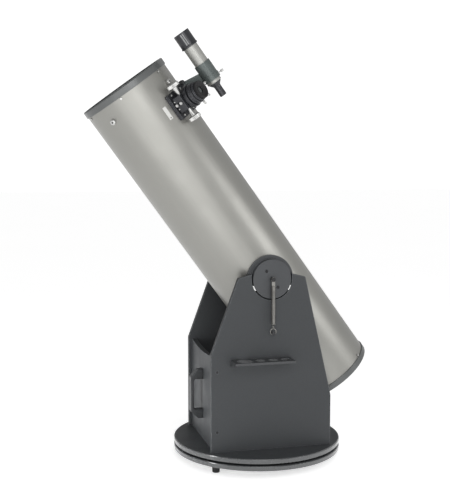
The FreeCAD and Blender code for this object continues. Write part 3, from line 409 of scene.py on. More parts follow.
def plain_surface(name, colour, roughness, metallic=0.0, cloud=0.06, cloud_scale=9.0, grain=900.0,
                  grain_mm=0.05, rough_spread=0.06, edge_mm=0.8, edge_highlight_lift=1.25, coat=0.0,
                  specular=0.5):
    """Clouded colour, fine grain, uneven gloss, softened edges and a painted highlight along them."""
    made = Surface(name, roughness, metallic, specular, coat)
    clouds = made.spread(made.noise(cloud_scale), 0.0, 1.0)
    fine = made.noise(grain, 4.0)
    base = made.mix(clouds, shade(colour, 1 - cloud), shade(colour, 1 + cloud))
    speck = made.spread(fine, 0.0, 1.0, 0.35, 0.65)
    base = made.mix(speck, base, made.mix(clouds, shade(colour, 1.0), shade(colour, 1 + 2 * cloud)))
    # painted highlight: edges made lighter where they would catch the light
    if edge_highlight_lift != 1.0:
        base = made.mix(made.edge_highlight_mask(edge_mm), base, shade(colour, edge_highlight_lift))
    made.colour(base)
    made.rough(made.noise(cloud_scale * 3), rough_spread)
    normal = made.soft_edges(edge_mm * 0.7) if edge_highlight_lift != 1.0 else None
    made.bump(fine, grain_mm, normal=normal)
    return made.material


def laminate_material():
    """Slate melamine on chipboard: fine pearl grain, and paler edges, partly wear chips and partly a painted
    highlight.
    """
    colour = (0.049, 0.052, 0.055)
    made = Surface("slate_laminate", 0.52, specular=0.22)
    clouds = made.spread(made.noise(3.5, 4.0), 0.0, 1.0)
    pores = made.spread(made.noise(650.0, 5.0), 0.0, 1.0, 0.42, 0.62)
    base = made.mix(clouds, shade(colour, 0.95), shade(colour, 1.05))
    base = made.mix(pores, base, shade(colour, 1.14))
    # edges lighter where chips show: partly wear, partly a painted highlight where edges catch the light
    chips = made.spread(made.noise(120.0, 6.0), 0.35, 1.0, 0.4, 0.6)
    edges = made.node("ShaderNodeMath", operation="MULTIPLY")
    made.link(made.edge_highlight_mask(4.0), edges.inputs[0])
    made.link(chips, edges.inputs[1])
    base = made.mix(edges.outputs["Value"], base, shade(colour, 3.4))
    made.colour(base)
    made.rough(made.noise(24.0), 0.05)
    made.bump(made.noise(900.0, 5.0), 0.06, 0.5, made.soft_edges(0.9))
    return made.material


def tube_material():
    """Metallic silver lacquer outside and matt black inside."""
    outside = (0.302, 0.299, 0.279)
    inside = (0.030, 0.030, 0.031)
    made = Surface("silver_lacquer", 0.40, 0.75, coat=0.25, coat_roughness=0.25)
    flakes = made.spread(made.noise(2600.0, 2.0), 0.0, 1.0, 0.35, 0.65)
    clouds = made.spread(made.noise(4.0, 3.0), 0.0, 1.0)
    silver = made.mix(flakes, shade(outside, 0.93), shade(outside, 1.07))
    silver = made.mix(clouds, silver, shade(outside, 1.03))
    bore = bore_mask(made)
    made.colour(made.mix(bore, silver, shade(inside, 1.0)))
    metallic = made.spread(bore, 0.75, 0.0, 0.0, 1.0)
    made.link(metallic, made.shader.inputs["Metallic"])
    uneven = made.spread(made.noise(14.0), 0.37, 0.43)
    rough = made.node("ShaderNodeMix", data_type="FLOAT")
    made.link(bore, rough.inputs["Factor"])
    made.link(uneven, rough.inputs[NUMBER_A])
    rough.inputs[NUMBER_B].default_value = 0.85
    made.link(rough.outputs[NUMBER_RESULT], made.shader.inputs["Roughness"])
    made.bump(made.noise(500.0, 3.0), 0.02, 0.35)
    return made.material


def bore_mask(made):
    """1 inside the optical tube's bore and 0 outside, from the distance to its axis."""
    offset = made.node("ShaderNodeVectorMath", operation="SUBTRACT")
    made.link(made.coordinates, offset.inputs[0])
    offset.inputs[1].default_value = PIVOT
    cross = made.node("ShaderNodeVectorMath", operation="CROSS_PRODUCT")
    made.link(offset.outputs["Vector"], cross.inputs[0])
    cross.inputs[1].default_value = FORWARD
    length = made.node("ShaderNodeVectorMath", operation="LENGTH")
    made.link(cross.outputs["Vector"], length.inputs[0])
    middle = (TUBE_R + TUBE_BORE_R) / 2 * MM
    blend = 0.2 * MM
    return made.spread(length.outputs["Value"], 1.0, 0.0, middle - blend, middle + blend)


def glass_material():
    """Coated glass with a faint green bloom."""
    made = Surface("coated_glass", 0.04, specular=0.6, coat=1.0, coat_roughness=0.03)
    tint = made.spread(made.noise(30.0), 0.0, 1.0)
    made.colour(made.mix(tint, (0.006, 0.012, 0.012, 1.0), (0.012, 0.022, 0.02, 1.0)))
    return made.material


def mirror_material():
    """First surface aluminium with a slight haze."""
    made = Surface("mirror_coating", 0.02, 1.0)
    haze = made.spread(made.noise(12.0), 0.0, 1.0)
    made.colour(made.mix(haze, (0.86, 0.88, 0.90, 1.0), (0.92, 0.93, 0.94, 1.0)))
    made.link(made.spread(made.noise(60.0), 0.01, 0.05), made.shader.inputs["Roughness"])
    return made.material


def rubber_material():
    """Dull moulded rubber with a trace of dust."""
    made = Surface("moulded_rubber", 0.72, specular=0.35)
    grain = made.noise(700.0, 4.0)
    dust = made.spread(made.noise(25.0, 5.0), 0.0, 1.0, 0.45, 0.75)
    made.colour(made.mix(dust, (0.014, 0.014, 0.015, 1.0), (0.03, 0.03, 0.031, 1.0)))
    made.rough(grain, 0.08)
    made.bump(grain, 0.12, 0.7, made.soft_edges(0.5))
    return made.material


# edge_highlight_lift sets how much lighter each material's edges are painted, a painted highlight
MATERIALS = {
    "laminate": laminate_material(),
    "edging": plain_surface("edge_moulding", (0.050, 0.053, 0.056), 0.26, cloud=0.05, grain=700.0,
                            grain_mm=0.01, edge_mm=1.6, edge_highlight_lift=2.0, coat=0.7, specular=0.9),
    "foot_plastic": rubber_material(),
    "steel_screw": plain_surface("plated_steel", (0.45, 0.45, 0.44), 0.32, 1.0, cloud=0.1,
                                 cloud_scale=60.0, grain_mm=0.03, edge_mm=0.3, edge_highlight_lift=1.3),
    "race_steel": plain_surface("rolled_steel", (0.5, 0.5, 0.5), 0.38, 1.0, cloud=0.12, grain=1500.0,
                                grain_mm=0.02, edge_mm=0.3),
    "nylon": plain_surface("natural_nylon", (0.68, 0.66, 0.6), 0.45, grain_mm=0.04, edge_highlight_lift=1.1),
    "black_plastic": plain_surface("black_moulding", (0.034, 0.036, 0.038), 0.38, cloud=0.12,
                                   cloud_scale=30.0, grain=800.0, grain_mm=0.08, edge_mm=1.2,
                                   edge_highlight_lift=2.4),
    "rack_paint": plain_surface("powder_coat", (0.046, 0.048, 0.051), 0.45, cloud=0.08, grain=420.0,
                                grain_mm=0.12, edge_mm=0.6, edge_highlight_lift=1.7),
    "ptfe": plain_surface("white_ptfe", (0.82, 0.82, 0.81), 0.5, cloud=0.03, grain_mm=0.02,
                          edge_highlight_lift=1.05),
    "spring_steel": plain_surface("spring_wire", (0.27, 0.265, 0.25), 0.36, 0.9, cloud=0.15,
                                  cloud_scale=80.0, grain_mm=0.02, edge_mm=0.2),
    "tube_paint": tube_material(),
    "ring_paint": plain_surface("ring_lacquer", (0.105, 0.110, 0.110), 0.34, 0.3, cloud=0.07,
                                grain=600.0, grain_mm=0.05, edge_mm=1.2, edge_highlight_lift=2.2, coat=0.2),
    "bearing_paint": plain_surface("bearing_lacquer", (0.050, 0.053, 0.057), 0.38, 0.1, cloud=0.07,
                                   grain=500.0, grain_mm=0.06, edge_mm=1.4, edge_highlight_lift=1.9),
    "dark_screw": plain_surface("black_oxide", (0.035, 0.035, 0.037), 0.38, 0.6, cloud=0.15,
                                cloud_scale=80.0, grain_mm=0.03, edge_mm=0.4, edge_highlight_lift=3.0),
    "cell_alloy": plain_surface("cast_alloy", (0.11, 0.11, 0.115), 0.5, 0.4, cloud=0.15,
                                cloud_scale=20.0, grain=260.0, grain_mm=0.3, edge_mm=1.0,
                                edge_highlight_lift=1.8),
    "mirror_glass": mirror_material(),
    "black_paint": plain_surface("matt_black", (0.016, 0.016, 0.017), 0.75, cloud=0.2, grain=500.0,
                                 grain_mm=0.08, edge_mm=0.5, edge_highlight_lift=2.0, specular=0.3),
    "silver_knob": plain_surface("bright_alloy", (0.56, 0.56, 0.55), 0.30, 0.85, cloud=0.05,
                                 cloud_scale=90.0, grain=1600.0, grain_mm=0.02, edge_mm=0.3,
                                 edge_highlight_lift=1.15),
    "focuser_black": plain_surface("black_anodised", (0.030, 0.031, 0.035), 0.30, 0.35, cloud=0.12,
                                   cloud_scale=40.0, grain=1300.0, grain_mm=0.02, edge_mm=0.8,
                                   edge_highlight_lift=5.0, specular=0.6),
    "plate_white": plain_surface("satin_plate", (0.60, 0.60, 0.58), 0.45, 0.1, cloud=0.04,
                                 grain_mm=0.02, edge_mm=0.4, edge_highlight_lift=1.1),
    "finder_silver": plain_surface("finder_lacquer", (0.37, 0.37, 0.35), 0.40, 0.6, cloud=0.02,
                                   grain=1500.0, grain_mm=0.001, rough_spread=0.02, edge_highlight_lift=1.0),
    "bracket_grey": plain_surface("bracket_lacquer", (0.086, 0.101, 0.098), 0.36, 0.3, cloud=0.08,
                                  grain=420.0, grain_mm=0.06, edge_mm=0.9, edge_highlight_lift=2.6),
    "lens_glass": glass_material(),
    "eyepiece_rubber": rubber_material(),
}
STRIPE = plain_surface("pale_lines", (0.24, 0.245, 0.245), 0.5, cloud=0.05, grain_mm=0.02,
                       edge_highlight_lift=1.0)

for part in frame["record"]["subparts"]:
    node = NODES[part["node"]]
    node.data.materials.clear()
    node.data.materials.append(MATERIALS[part["material_slot"]])


# ---------------------------------------------------------------- focuser pieces
def focus_knobs():
    """Two knurled hand wheels with conical hubs on the focus shaft."""
    shape = Shape()
    shaft_y = 30.23
    shaft_z = 178.0
    for side in (-1, 1):
        place = local(FOCUSER, (0, shaft_y, shaft_z), (side, 0, 0))
        profile = [(3.05, 26.0), (4.4, 26.0), (4.6, 27.0), (9.6, 51.0), (10.4, 52.5), (18.4, 52.5),
                   (19.9, 53.7, 1), (19.9, 63.8, 1), (18.6, 65.0), (15.8, 65.0), (15.2, 64.3),
                   (6.8, 64.3), (6.2, 65.0), (3.05, 65.0)]
        shape.lathe(profile, place, segments=288, ribs=72, depth=0.55)
    shape.build("focus_hand_wheels", MATERIALS["silver_knob"], "focus_shaft",
                ["focus_knobs"])


def drawtube_collar():
    """Clamp collar with a grip band of fine grooves and two turned steps."""
    shape = Shape()
    profile = rounded([(25.7, 203.0), (33.0, 203.0), (34.0, 204.2), (34.0, 207.0), (33.0, 207.3),
                       (33.0, 208.6), (34.0, 209.0), (34.0, 214.6), (33.2, 215.0), (33.2, 216.4),
                       (34.0, 216.8), (34.0, 218.0), (33.0, 219.0), (25.7, 219.0)], 0.35)
    shape.lathe(profile, FOCUSER_AXIS, segments=96, closed=True)
    shape.build("collar_turned", MATERIALS["focuser_black"], "drawtube",
                ["drawtube_collar"])


def eyepiece_adapter():
    """Stepped 1.25 inch adapter ring."""
    shape = Shape()
    profile = rounded([(16.3, 195.4), (25.3, 195.4), (25.3, 219.2), (29.6, 219.2), (31.0, 220.6),
                       (31.0, 223.0), (30.0, 223.4), (30.0, 224.8), (31.0, 225.2), (31.0, 226.8),
                       (29.8, 228.0), (16.3, 228.0)], 0.35)
    shape.lathe(profile, FOCUSER_AXIS, segments=96, closed=True)
    shape.build("adapter_turned", MATERIALS["focuser_black"], "adapter",
                ["eyepiece_adapter"])


def eyepiece():
    """Eyepiece with its barrel, ribbed grip, rolled rubber cup and eye lens."""
    barrel = Shape()
    barrel.lathe(rounded([(11.2, 202.4), (15.5, 202.4), (15.8, 203.0), (15.8, 214.0), (15.2, 214.6),
                          (15.2, 217.6), (15.8, 218.2), (15.8, 228.3), (11.2, 228.3)], 0.25),
                 FOCUSER_AXIS, segments=72, closed=True)
    barrel.build("eyepiece_barrel", MATERIALS["steel_screw"], "eyepiece")
    cup = Shape()
    profile = [(11.0, 228.2), (27.6, 228.2), (28.0, 228.8), (28.0, 230.4), (26.8, 230.9),
               (26.8, 231.8), (29.0, 232.6, 1), (29.4, 233.4, 1), (29.4, 236.6, 1), (29.2, 238.0),
               (28.3, 239.1), (26.6, 239.5), (24.6, 239.0), (23.2, 237.4), (19.0, 233.6),
               (14.5, 232.4), (13.4, 233.4), (11.0, 233.2)]
    cup.lathe(profile, FOCUSER_AXIS, segments=180, ribs=45, depth=0.7, closed=True)
    cup.build("eyepiece_cup", MATERIALS["eyepiece_rubber"], "eyepiece",
              ["eyepiece"])
    lens = Shape()
    lens.lathe([(0.01, 229.0), (11.1, 229.0), (11.1, 230.2), (8.0, 231.3), (4.0, 231.9),
                (0.01, 232.1)], FOCUSER_AXIS, segments=48)
    lens.build("eye_lens", MATERIALS["lens_glass"], "eyepiece")


def screw_on_joint(joint_name, node, inner, head_at, head_r, head_h):
    """A thumbscrew on the body named as its node; inner and head_at lie along the joint's axis."""
    joint = JOINTS[joint_name]
    axis = Vector(joint["axis"])
    base = Vector(joint["pos_m"]) + axis * inner * MM
    shape = Shape()
    thumbscrew(shape, aim(base, axis), head_r, head_h, stem_r=2.0, stem_len=head_at - inner, ribs=26)
    shape.build(node + "_knurled", MATERIALS["silver_knob"], node, [node])


def collimation_knobs():
    """Three knurled knobs behind the mirror cell, each with its shank."""
    for number in (1, 2, 3):
        joint = JOINTS["collimation_%d_turn" % number]
        shape = Shape()
        place = aim(joint["pos_m"], -FORWARD)
        profile = [(3.0, -21.0), (3.0, -3.4), (11.0, -3.4), (12.4, -2.4, 1), (12.4, 9.0, 1),
                   (11.2, 10.2), (5.2, 10.2), (4.6, 9.6), (0.01, 9.6)]
        shape.lathe(profile, place, segments=192, ribs=48, depth=0.6)
        shape.build("collimation_knob_%d_knurled" % number, MATERIALS["silver_knob"],
                    "collimation_knob_%d" % number, ["collimation_knob_%d" % number])


def spider_knobs():
    """Knurled nuts that tension the spider's vanes, each with its stud's end."""
    shape = Shape()
    for turn in range(4):
        place = local(side_frame(FOCUSER_T + 90 * turn, SPIDER_S), (0, 0, TUBE_R + 0.3), (0, 0, 1))
        profile = [(0.01, 0.0), (8.2, 0.0), (9.0, 0.8, 1), (9.0, 6.6, 1), (8.0, 7.6), (5.2, 8.5),
                   (3.1, 8.5), (3.0, 7.9), (2.4, 8.2), (1.8, 8.5), (0.01, 8.5)]
        shape.lathe(profile, place, segments=144, ribs=36, depth=0.5)
    shape.build("spider_nuts_knurled", MATERIALS["silver_knob"], "tube",
                ["spider_knobs"])


def cell_lock_screws():
    """Three smaller knurled screws, each nearer the axis than its collimation knob."""
    shape = Shape()
    for turn in (30.0, 150.0, 270.0):
        place = local(side_frame(turn, CELL_LOCK_S), (0, 0, CELL_LOCK_R), (-1, 0, 0))
        profile = [(2.5, -12.8), (2.5, 0.0), (5.6, 0.0), (6.5, 0.8, 1), (6.5, 8.2, 1), (5.6, 9.0),
                   (0.01, 9.0)]
        shape.lathe(profile, place, segments=96, ribs=24, depth=0.5)
    shape.build("cell_lock_screws_knurled", MATERIALS["silver_knob"], "tube",
                ["cell_lock_screws"])


def tube_screws():
    """Cross recess screws of the rings, focuser and shoe, the tension screw and the plate's rivet."""
    ring_seat = 152.1
    base_seat = 153.0
    block_y = 46.0
    shoe_seat = 155.0
    shape = Shape()
    for index in range(6):
        for s in RING_SCREW_S:
            place = local(side_frame(RING_SCREW_T + 60 * index, s), (0, 0, ring_seat), (0, 0, 1))
            recessed_head(shape, place, head_r=4.0, head_h=2.4, shank_r=1.9, shank_len=5.0)
    for x in (-36.0, 36.0):
        for y in (-32.0, 32.0):
            place = local(FOCUSER, (x, y, base_seat), (0, 0, 1))
            recessed_head(shape, place, head_r=4.0, head_h=2.4, shank_r=1.9, shank_len=10.0)
    for x in (-12.0, 14.0):
        place = local(FOCUSER, (x, block_y, 158.0), (0, 1, 0))
        recessed_head(shape, place, head_r=2.6, head_h=1.8, shank_r=1.5, shank_len=7.0)
    place = local(FOCUSER, (2.0, 38.0, 180.0), (0, 1, 0))
    thumbscrew(shape, place, head_r=5.0, head_h=6.5, stem_r=2.0, stem_len=12.0, ribs=26)
    for s in SHOE_SCREW_S:
        place = local(FINDER, (s, 0, shoe_seat), (0, 0, 1))
        recessed_head(shape, place, head_r=3.4, head_h=2.2, shank_r=2.0, shank_len=8.0)
    rivet = Shape()
    on_plate = side_frame(PLATE_T, PLATE_RIVET_S)
    rivet.lathe([(1.9, TUBE_R + 0.5), (1.9, TUBE_R + 1.5), (1.2, TUBE_R + 1.9), (0.01, TUBE_R + 1.9)],
                on_plate, segments=24)
    rivet.build("plate_rivet", MATERIALS["dark_screw"], "tube")
    shape.build("tube_screws_cross", MATERIALS["silver_knob"], "tube",
                ["tube_screws"])


# ---------------------------------------------------------------- finder pieces
def finder_screws():
    """Two knurled adjusting screws of the bracket and the spring plunger across from them."""
    screw_start = 24.5
    plunger_start = 29.1
    shape = Shape()
    for angle in (7.0, -83.0):
        place = finder_radial(angle, screw_start)
        thumbscrew(shape, place, head_r=4.5, head_h=9.0, stem_r=2.0, stem_len=12.5, ribs=24)
    profile = [(2.0, -4.6), (2.0, 0.0), (4.4, 0.0), (4.5, 1.0, 1), (4.5, 7.8, 1), (3.8, 9.0),
               (0.01, 9.0)]
    shape.lathe(profile, finder_radial(142.0, plunger_start), segments=96, ribs=24, depth=0.4)
    shape.build("finder_screws_knurled", MATERIALS["silver_knob"], "finder_bracket",
                ["finder_screws"])


def finder_radial(degrees, start):
    """Frame that points out of the finder's axis and begins at a distance from it."""
    theta = math.radians(degrees)
    direction = (0, math.sin(theta), math.cos(theta))
    base = (FINDER_SCREW_S, start * direction[1], FINDER_AXIS_R + start * direction[2])
    return local(FINDER, base, direction)


def finder_optics():
    """Shade with its step rings and two pale lines, and the ocular with its ribbed eye cup."""
    place = local(FINDER, (0, 0, FINDER_AXIS_R), (1, 0, 0))
    shade_shape = Shape()
    profile = rounded([(21.6, 741.5), (27.4, 741.5), (28.4, 742.3), (28.4, 746.8), (27.6, 747.5),
                       (27.0, 747.8), (27.0, 791.7), (26.4, 792.6), (25.4, 792.6), (25.0, 791.8),
                       (25.0, 747.6), (21.6, 747.5)], 0.3)
    shade_shape.lathe(profile, place, segments=96, closed=True)
    shade_shape.build("finder_dew_shade", MATERIALS["focuser_black"], "finder_scope",
                      ["finder_shade"])
    lines = Shape()
    for towards, half_width in ((115.0, 4.6), (101.5, 3.2)):
        out = place.inverted().to_3x3() @ out_of_tube(towards)
        centre = math.degrees(math.atan2(out.y, out.x))
        outline = []
        for radius, turn in ((27.3, 1), (26.7, -1)):
            for step in range(-2, 3):
                angle = math.radians(centre + turn * step * half_width / 2)
                outline.append((radius * math.cos(angle), radius * math.sin(angle)))
        lines.prism(outline, 750.0, 788.0, place)
    lines.build("finder_shade_lines", STRIPE, "finder_scope")
    ocular = Shape()
    profile = [(8.4, 561.2), (8.4, 556.4), (9.2, 555.7), (10.6, 555.7), (11.4, 556.6), (11.5, 558.2),
               (11.5, 574.0), (11.0, 574.4), (11.0, 575.6), (11.5, 576.0), (11.5, 590.6),
               (13.0, 594.0, 1), (20.8, 602.4, 1), (21.5, 603.4, 1), (21.5, 605.6), (0.01, 605.6)]
    ocular.lathe(profile, place, segments=120, ribs=30, depth=0.35)
    ocular.build("finder_ocular", MATERIALS["focuser_black"], "finder_scope",
                 ["finder_eyepiece"])
    lens = Shape()
    lens.lathe([(0.01, 559.4), (4.0, 559.6), (8.3, 560.6), (8.3, 562.0), (0.01, 562.0)], place)
    lens.build("finder_eye_lens", MATERIALS["lens_glass"], "finder_scope")


# ---------------------------------------------------------------- rocker pieces
def helix(centre_y, top_z, bottom_z, mean_r, wire_r):
    """Points of a closed coil, its turns one wire apart."""
    turns = (top_z - bottom_z - 2 * wire_r) / (2 * wire_r)
    per_turn = 16
    count = int(turns * per_turn)
    points = []
    for index in range(count + 1):
        angle = 2 * math.pi * index / per_turn
        z = bottom_z + wire_r + (top_z - bottom_z - 2 * wire_r) * index / count
        points.append((mean_r * math.cos(angle), centre_y + mean_r * math.sin(angle), z))
    return points


def arc_xz(centre_x, y, centre_z, radius, start, end, steps):
    """Points of an arc in a plane of constant Y, from start to end in degrees."""
    points = []
    for index in range(steps + 1):
        angle = math.radians(start + (end - start) * index / steps)
        points.append((centre_x + radius * math.cos(angle), y, centre_z + radius * math.sin(angle)))
    return points


def tension_springs():
    """Closed coil spring per side, with its strap hook, eye and pull ring."""
    shape = Shape()
    wire_r = 0.95
    coil_top = 604.0
    coil_bottom = 479.0
    axis_z = PIVOT.z / MM
    for side in (-1, 1):
        y = side * SPRING_Y
        shape.sweep(helix(y, coil_top, coil_bottom, 6.05, wire_r), wire_r, 7, place=ROW_MM)
        strap = arc_xz(0, 0, axis_z, 7.5, -43.0, 223.0, 18)
        outline = [(x, z) for x, _, z in strap]
        outline += [(-5.5, axis_z - 9.0), (-5.5, coil_top - 6.0), (5.5, coil_top - 6.0),
                    (5.5, axis_z - 9.0)]
        place = ROW_MM @ Matrix(((1, 0, 0, 0), (0, 0, -1, y), (0, 1, 0, 0), (0, 0, 0, 1)))
        shape.prism(outline, -1.0, 1.0, place)
        shape.sweep([(0, y, coil_bottom + 1.5), (5.2, y, coil_bottom - 0.6)], wire_r, 7, place=ROW_MM)
        eye = [(x, 0, z) for x, _, z in arc_xz(0, 0, coil_bottom - 6.6, 5.2, 90, 450, 24)][:-1]
        shape.sweep([(0, y + x, z) for x, _, z in eye], wire_r, 7, closed=True, place=ROW_MM)
        ring = arc_xz(0, y, SPRING_POST_Z + 5.0, 9.5, 0, 360, 36)[:-1]
        shape.sweep(ring, 1.3, 8, closed=True, place=ROW_MM)
    shape.build("springs_coiled", MATERIALS["spring_steel"], "rocker",
                ["tension_springs"])


def rocker_screws():
    """Cross recess screws of the box, and the posts that hold the springs' pull rings."""
    shape = Shape()
    board_seat_z = 55.0         # screws that come up through the rocker board
    for side in (-1, 1):
        for z in (133.0, 330.0):
            place = local(ROW_MM, (PANEL_X, side * (BOX_HALF_W - 2.4), z), (0, side, 0))
            recessed_head(shape, place, head_r=4.4, head_h=2.2, shank_r=2.5, shank_len=40.0)
        for x in (-130.0, 30.0, 170.0):
            place = local(ROW_MM, (x, side * (BOX_HALF_W - 8.0), board_seat_z), (0, 0, -1))
            recessed_head(shape, place, head_r=4.8, head_h=3.0, shank_r=2.5, shank_len=40.0)
        place = local(ROW_MM, (0, side * BOX_HALF_W, SPRING_POST_Z), (0, side, 0))
        profile = rounded([(2.5, -12.0), (2.5, 0.0), (5.2, 0.0), (5.2, 1.6), (3.3, 2.2),
                           (3.3, 18.6), (6.0, 20.0), (6.0, 21.6), (4.6, 22.5), (0.01, 22.5)], 0.4)
        shape.lathe(profile, place, segments=40)
    for y in (-90.0, 90.0):
        place = local(ROW_MM, (PANEL_X, y, board_seat_z), (0, 0, -1))
        recessed_head(shape, place, head_r=4.8, head_h=3.0, shank_r=2.5, shank_len=40.0)
    for z in (153.0, 290.0):
        place = local(ROW_MM, (-174.0, 0, z), (1, 0, 0))
        recessed_head(shape, place, head_r=5.0, head_h=3.0, shank_r=2.0, shank_len=26.0)
    for x in (-105.0, 30.0):
        place = local(ROW_MM, (x, -BOX_HALF_W - 1.5, 354.0), (0, -1, 0))
        recessed_head(shape, place, head_r=4.0, head_h=2.4, shank_r=2.0, shank_len=12.0)
    shape.build("rocker_screws_cross", MATERIALS["dark_screw"], "rocker",
                ["rocker_screws"])


def altitude_bolts():
    """Socket screws of the bearing discs, and the studs that carry the spring hooks."""
    shape = Shape()
    face = 178.0
    stud_top = 192.4
    for side in (-1, 1):
        centre = local(ROW_MM, (0, 0, PIVOT.z / MM), (0, side, 0))
        profile = rounded([(4.0, 140.0), (4.0, 141.0), (8.0, 141.0), (8.0, 147.0), (4.0, 147.0),
                           (4.0, face), (7.0, face), (7.0, face + 8.0), (4.0, face + 8.0),
                           (4.0, stud_top), (7.0, stud_top), (7.0, stud_top + 2.2),
                           (5.4, stud_top + 3.5), (0.01, stud_top + 3.5)], 0.5)
        shape.lathe(profile, centre, segments=48)
        for s in (-32.5, 32.5):
            at = PIVOT + FORWARD * s * MM + ACROSS * side * (face - 4.0) * MM
            recessed_head(shape, aim(at, ACROSS * side), head_r=4.8, head_h=3.6, shank_r=2.5,
                          shank_len=34.0, hexagon=True)
    shape.build("altitude_bolts_socket", MATERIALS["dark_screw"], "tube",
                ["altitude_bolts"])


def carry_handle():
    """Moulded handle with rounded edges and ribbed feet."""
    low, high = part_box("carry_handle")
    wall, reach = high.x / MM, low.x / MM
    bottom, top = low.z / MM, high.z / MM
    half_w = high.y / MM
    grip = 10.0
    foot = 30.0
    top_foot = 33.0
    bend = 9.0
    shoulder = reach + 24.0
    inner = reach + grip
    outline = [(wall, bottom), (shoulder, bottom), (reach, bottom + 25.0), (reach, top - 25.0),
               (shoulder, top), (wall, top), (wall, top - top_foot)]
    for centre_z, start, end in ((top - top_foot - bend, 90, 180), (bottom + foot + bend, 180, 270)):
        corner = arc_xz(inner + bend, 0, centre_z, bend, start, end, 6)
        outline.extend((x, z) for x, _, z in corner)
    outline.append((wall, bottom + foot))
    shape = Shape()
    place = ROW_MM @ Matrix(((1, 0, 0, 0), (0, 0, -1, 0), (0, 1, 0, 0), (0, 0, 0, 1)))
    shape.prism(outline, -half_w + 0.3, half_w - 0.3, place)
    piece = shape.build("handle_moulded", MATERIALS["black_plastic"], "rocker",
                        ["carry_handle"])
    soften = piece.modifiers.new("soft_edges", "BEVEL")
    soften.width = 2.2 * MM
    soften.segments = 3
    soften.limit_method = "ANGLE"
    soften.angle_limit = math.radians(30)
    rib_pitch = 4.6
    rib_h = 0.9                 # height of a rib and half its width
    ribs = Shape()
    for centre_z in (bottom + foot / 2, top - top_foot / 2):
        for step in range(-2, 3):
            z = centre_z + step * rib_pitch
            for side in (-1, 1):
                y0, y1 = sorted((side * (half_w - rib_h), side * half_w))
                rib = [(shoulder + 3.0, z - rib_h), (wall - 3.0, z - rib_h), (wall - 3.0, z + rib_h),
                       (shoulder + 3.0, z + rib_h)]
                ribs.prism(rib, y0, y1, place)
    ribs.build("handle_foot_ribs", MATERIALS["black_plastic"], "rocker")


focus_knobs()
drawtube_collar()
eyepiece_adapter()
eyepiece()
screw_on_joint("collar_screw_turn", "collar_screw", inner=25.8, head_at=39.5, head_r=4.3, head_h=9.5)
screw_on_joint("adapter_screw_turn", "adapter_screw", inner=16.4, head_at=43.0, head_r=4.3, head_h=9.5)
screw_on_joint("focus_lock_turn", "focus_lock_screw", inner=-9.0, head_at=4.0, head_r=5.0, head_h=7.0)
collimation_knobs()
spider_knobs()
cell_lock_screws()
tube_screws()
finder_screws()
finder_optics()
tension_springs()
rocker_screws()
altitude_bolts()
carry_handle()


# ---------------------------------------------------------------- stage, light and camera
def floor():
    """Plain pale floor that glows a little, so that it meets the white background."""
    size = 30.0
    mesh = bpy.data.meshes.new("floor")
    mesh.from_pydata([(-size, -size, 0), (size, -size, 0), (size, size, 0), (-size, size, 0)], [],
                     [(0, 1, 2, 3)])
    plane = bpy.data.objects.new("floor", mesh)
    bpy.context.scene.collection.objects.link(plane)
    made = Surface("pale_floor", 0.9, specular=0.1)
    patches = made.spread(made.noise(0.7), 0.0, 1.0)
    made.colour(made.mix(patches, (0.90, 0.90, 0.90, 1.0), (0.91, 0.91, 0.91, 1.0)))
    made.shader.inputs["Emission Color"].default_value = (1.0, 1.0, 1.0, 1.0)
    made.shader.inputs["Emission Strength"].default_value = 0.62
    mesh.materials.append(made.material)


def soft_light(name, direction, distance, size, power, aim_at, spread=180.0):
    """A round soft box that stands off from aim_at and isn't seen itself."""
    light = bpy.data.lights.new(name, "AREA")
    light.shape = "DISK"
    light.size = size
    light.energy = power
    light.spread = math.radians(spread)
    lamp = bpy.data.objects.new(name, light)
    lamp.location = Vector(aim_at) + Vector(direction).normalized() * distance
    lamp.rotation_euler = Vector(direction).to_track_quat("Z", "Y").to_euler()
    lamp.visible_camera = False
    bpy.context.scene.collection.objects.link(lamp)


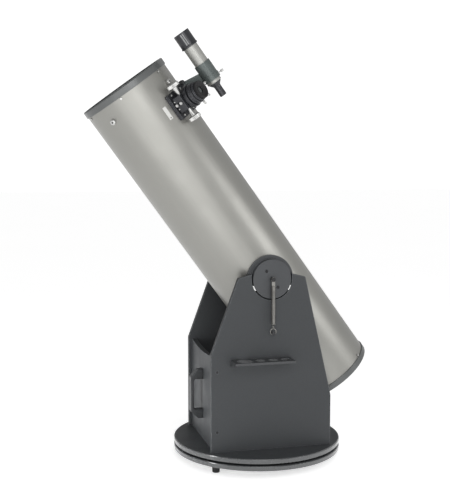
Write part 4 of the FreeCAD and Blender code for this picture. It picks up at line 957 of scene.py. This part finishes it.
def surroundings():
    """A pale room, a little dimmer on the left; the camera sees plain white."""
    world = bpy.data.worlds.new("studio")
    bpy.context.scene.world = world
    world.use_nodes = True
    tree = world.node_tree
    background = tree.nodes["Background"]
    background.inputs["Color"].default_value = (1.0, 1.0, 1.0, 1.0)
    coordinates = tree.nodes.new("ShaderNodeTexCoord")
    parts = tree.nodes.new("ShaderNodeSeparateXYZ")
    tree.links.new(coordinates.outputs["Generated"], parts.inputs["Vector"])
    span = tree.nodes.new("ShaderNodeMapRange")
    span.inputs["From Min"].default_value = -0.8
    span.inputs["From Max"].default_value = 0.8
    span.inputs["To Min"].default_value = 0.25
    span.inputs["To Max"].default_value = 0.56
    tree.links.new(parts.outputs["X"], span.inputs["Value"])
    path = tree.nodes.new("ShaderNodeLightPath")
    pick = tree.nodes.new("ShaderNodeMix")
    tree.links.new(path.outputs["Is Camera Ray"], pick.inputs["Factor"])
    tree.links.new(span.outputs["Result"], pick.inputs[NUMBER_A])
    pick.inputs[NUMBER_B].default_value = 1.1
    tree.links.new(pick.outputs[NUMBER_RESULT], background.inputs["Strength"])


def camera():
    """Long lens that looks at the middle of the telescope from its side, a little from above."""
    eye = bpy.data.cameras.new("camera")
    eye.lens = 66.49
    eye.sensor_width = 36.0
    eye.clip_start = 0.05
    eye.clip_end = 100.0
    holder = bpy.data.objects.new("camera", eye)
    azimuth = math.radians(-14.403)
    elevation = math.radians(5.446)
    distance = 3.11666
    target = Vector((-0.11113, 0.0, 0.70047))
    back = Vector((math.sin(azimuth) * math.cos(elevation),
                   -math.cos(azimuth) * math.cos(elevation), math.sin(elevation)))
    holder.location = target + back * distance
    holder.rotation_euler = back.to_track_quat("Z", "Y").to_euler()
    bpy.context.scene.collection.objects.link(holder)
    bpy.context.scene.camera = holder


floor()
surroundings()
UPPER_TUBE = PIVOT + FORWARD * 0.62
soft_light("upper_front", direction=out_of_tube(109.0), distance=1.5, size=1.5, power=2.6,
           aim_at=UPPER_TUBE, spread=120.0)
soft_light("front", direction=(-0.1, -0.9, 0.5), distance=3.2, size=1.8, power=24.0,
           aim_at=(0.0, 0.0, 0.4))
soft_light("right", direction=(0.8, -0.6, 0.3), distance=3.0, size=1.5, power=15.5,
           aim_at=(0.0, 0.0, 0.6))
soft_light("panel", direction=(-0.95, -0.3, 0.12), distance=1.6, size=0.3, power=0.45,
           aim_at=(-0.18, 0.0, 0.16), spread=22.0)
camera()
bpy.context.scene.view_settings.view_transform = "Standard"
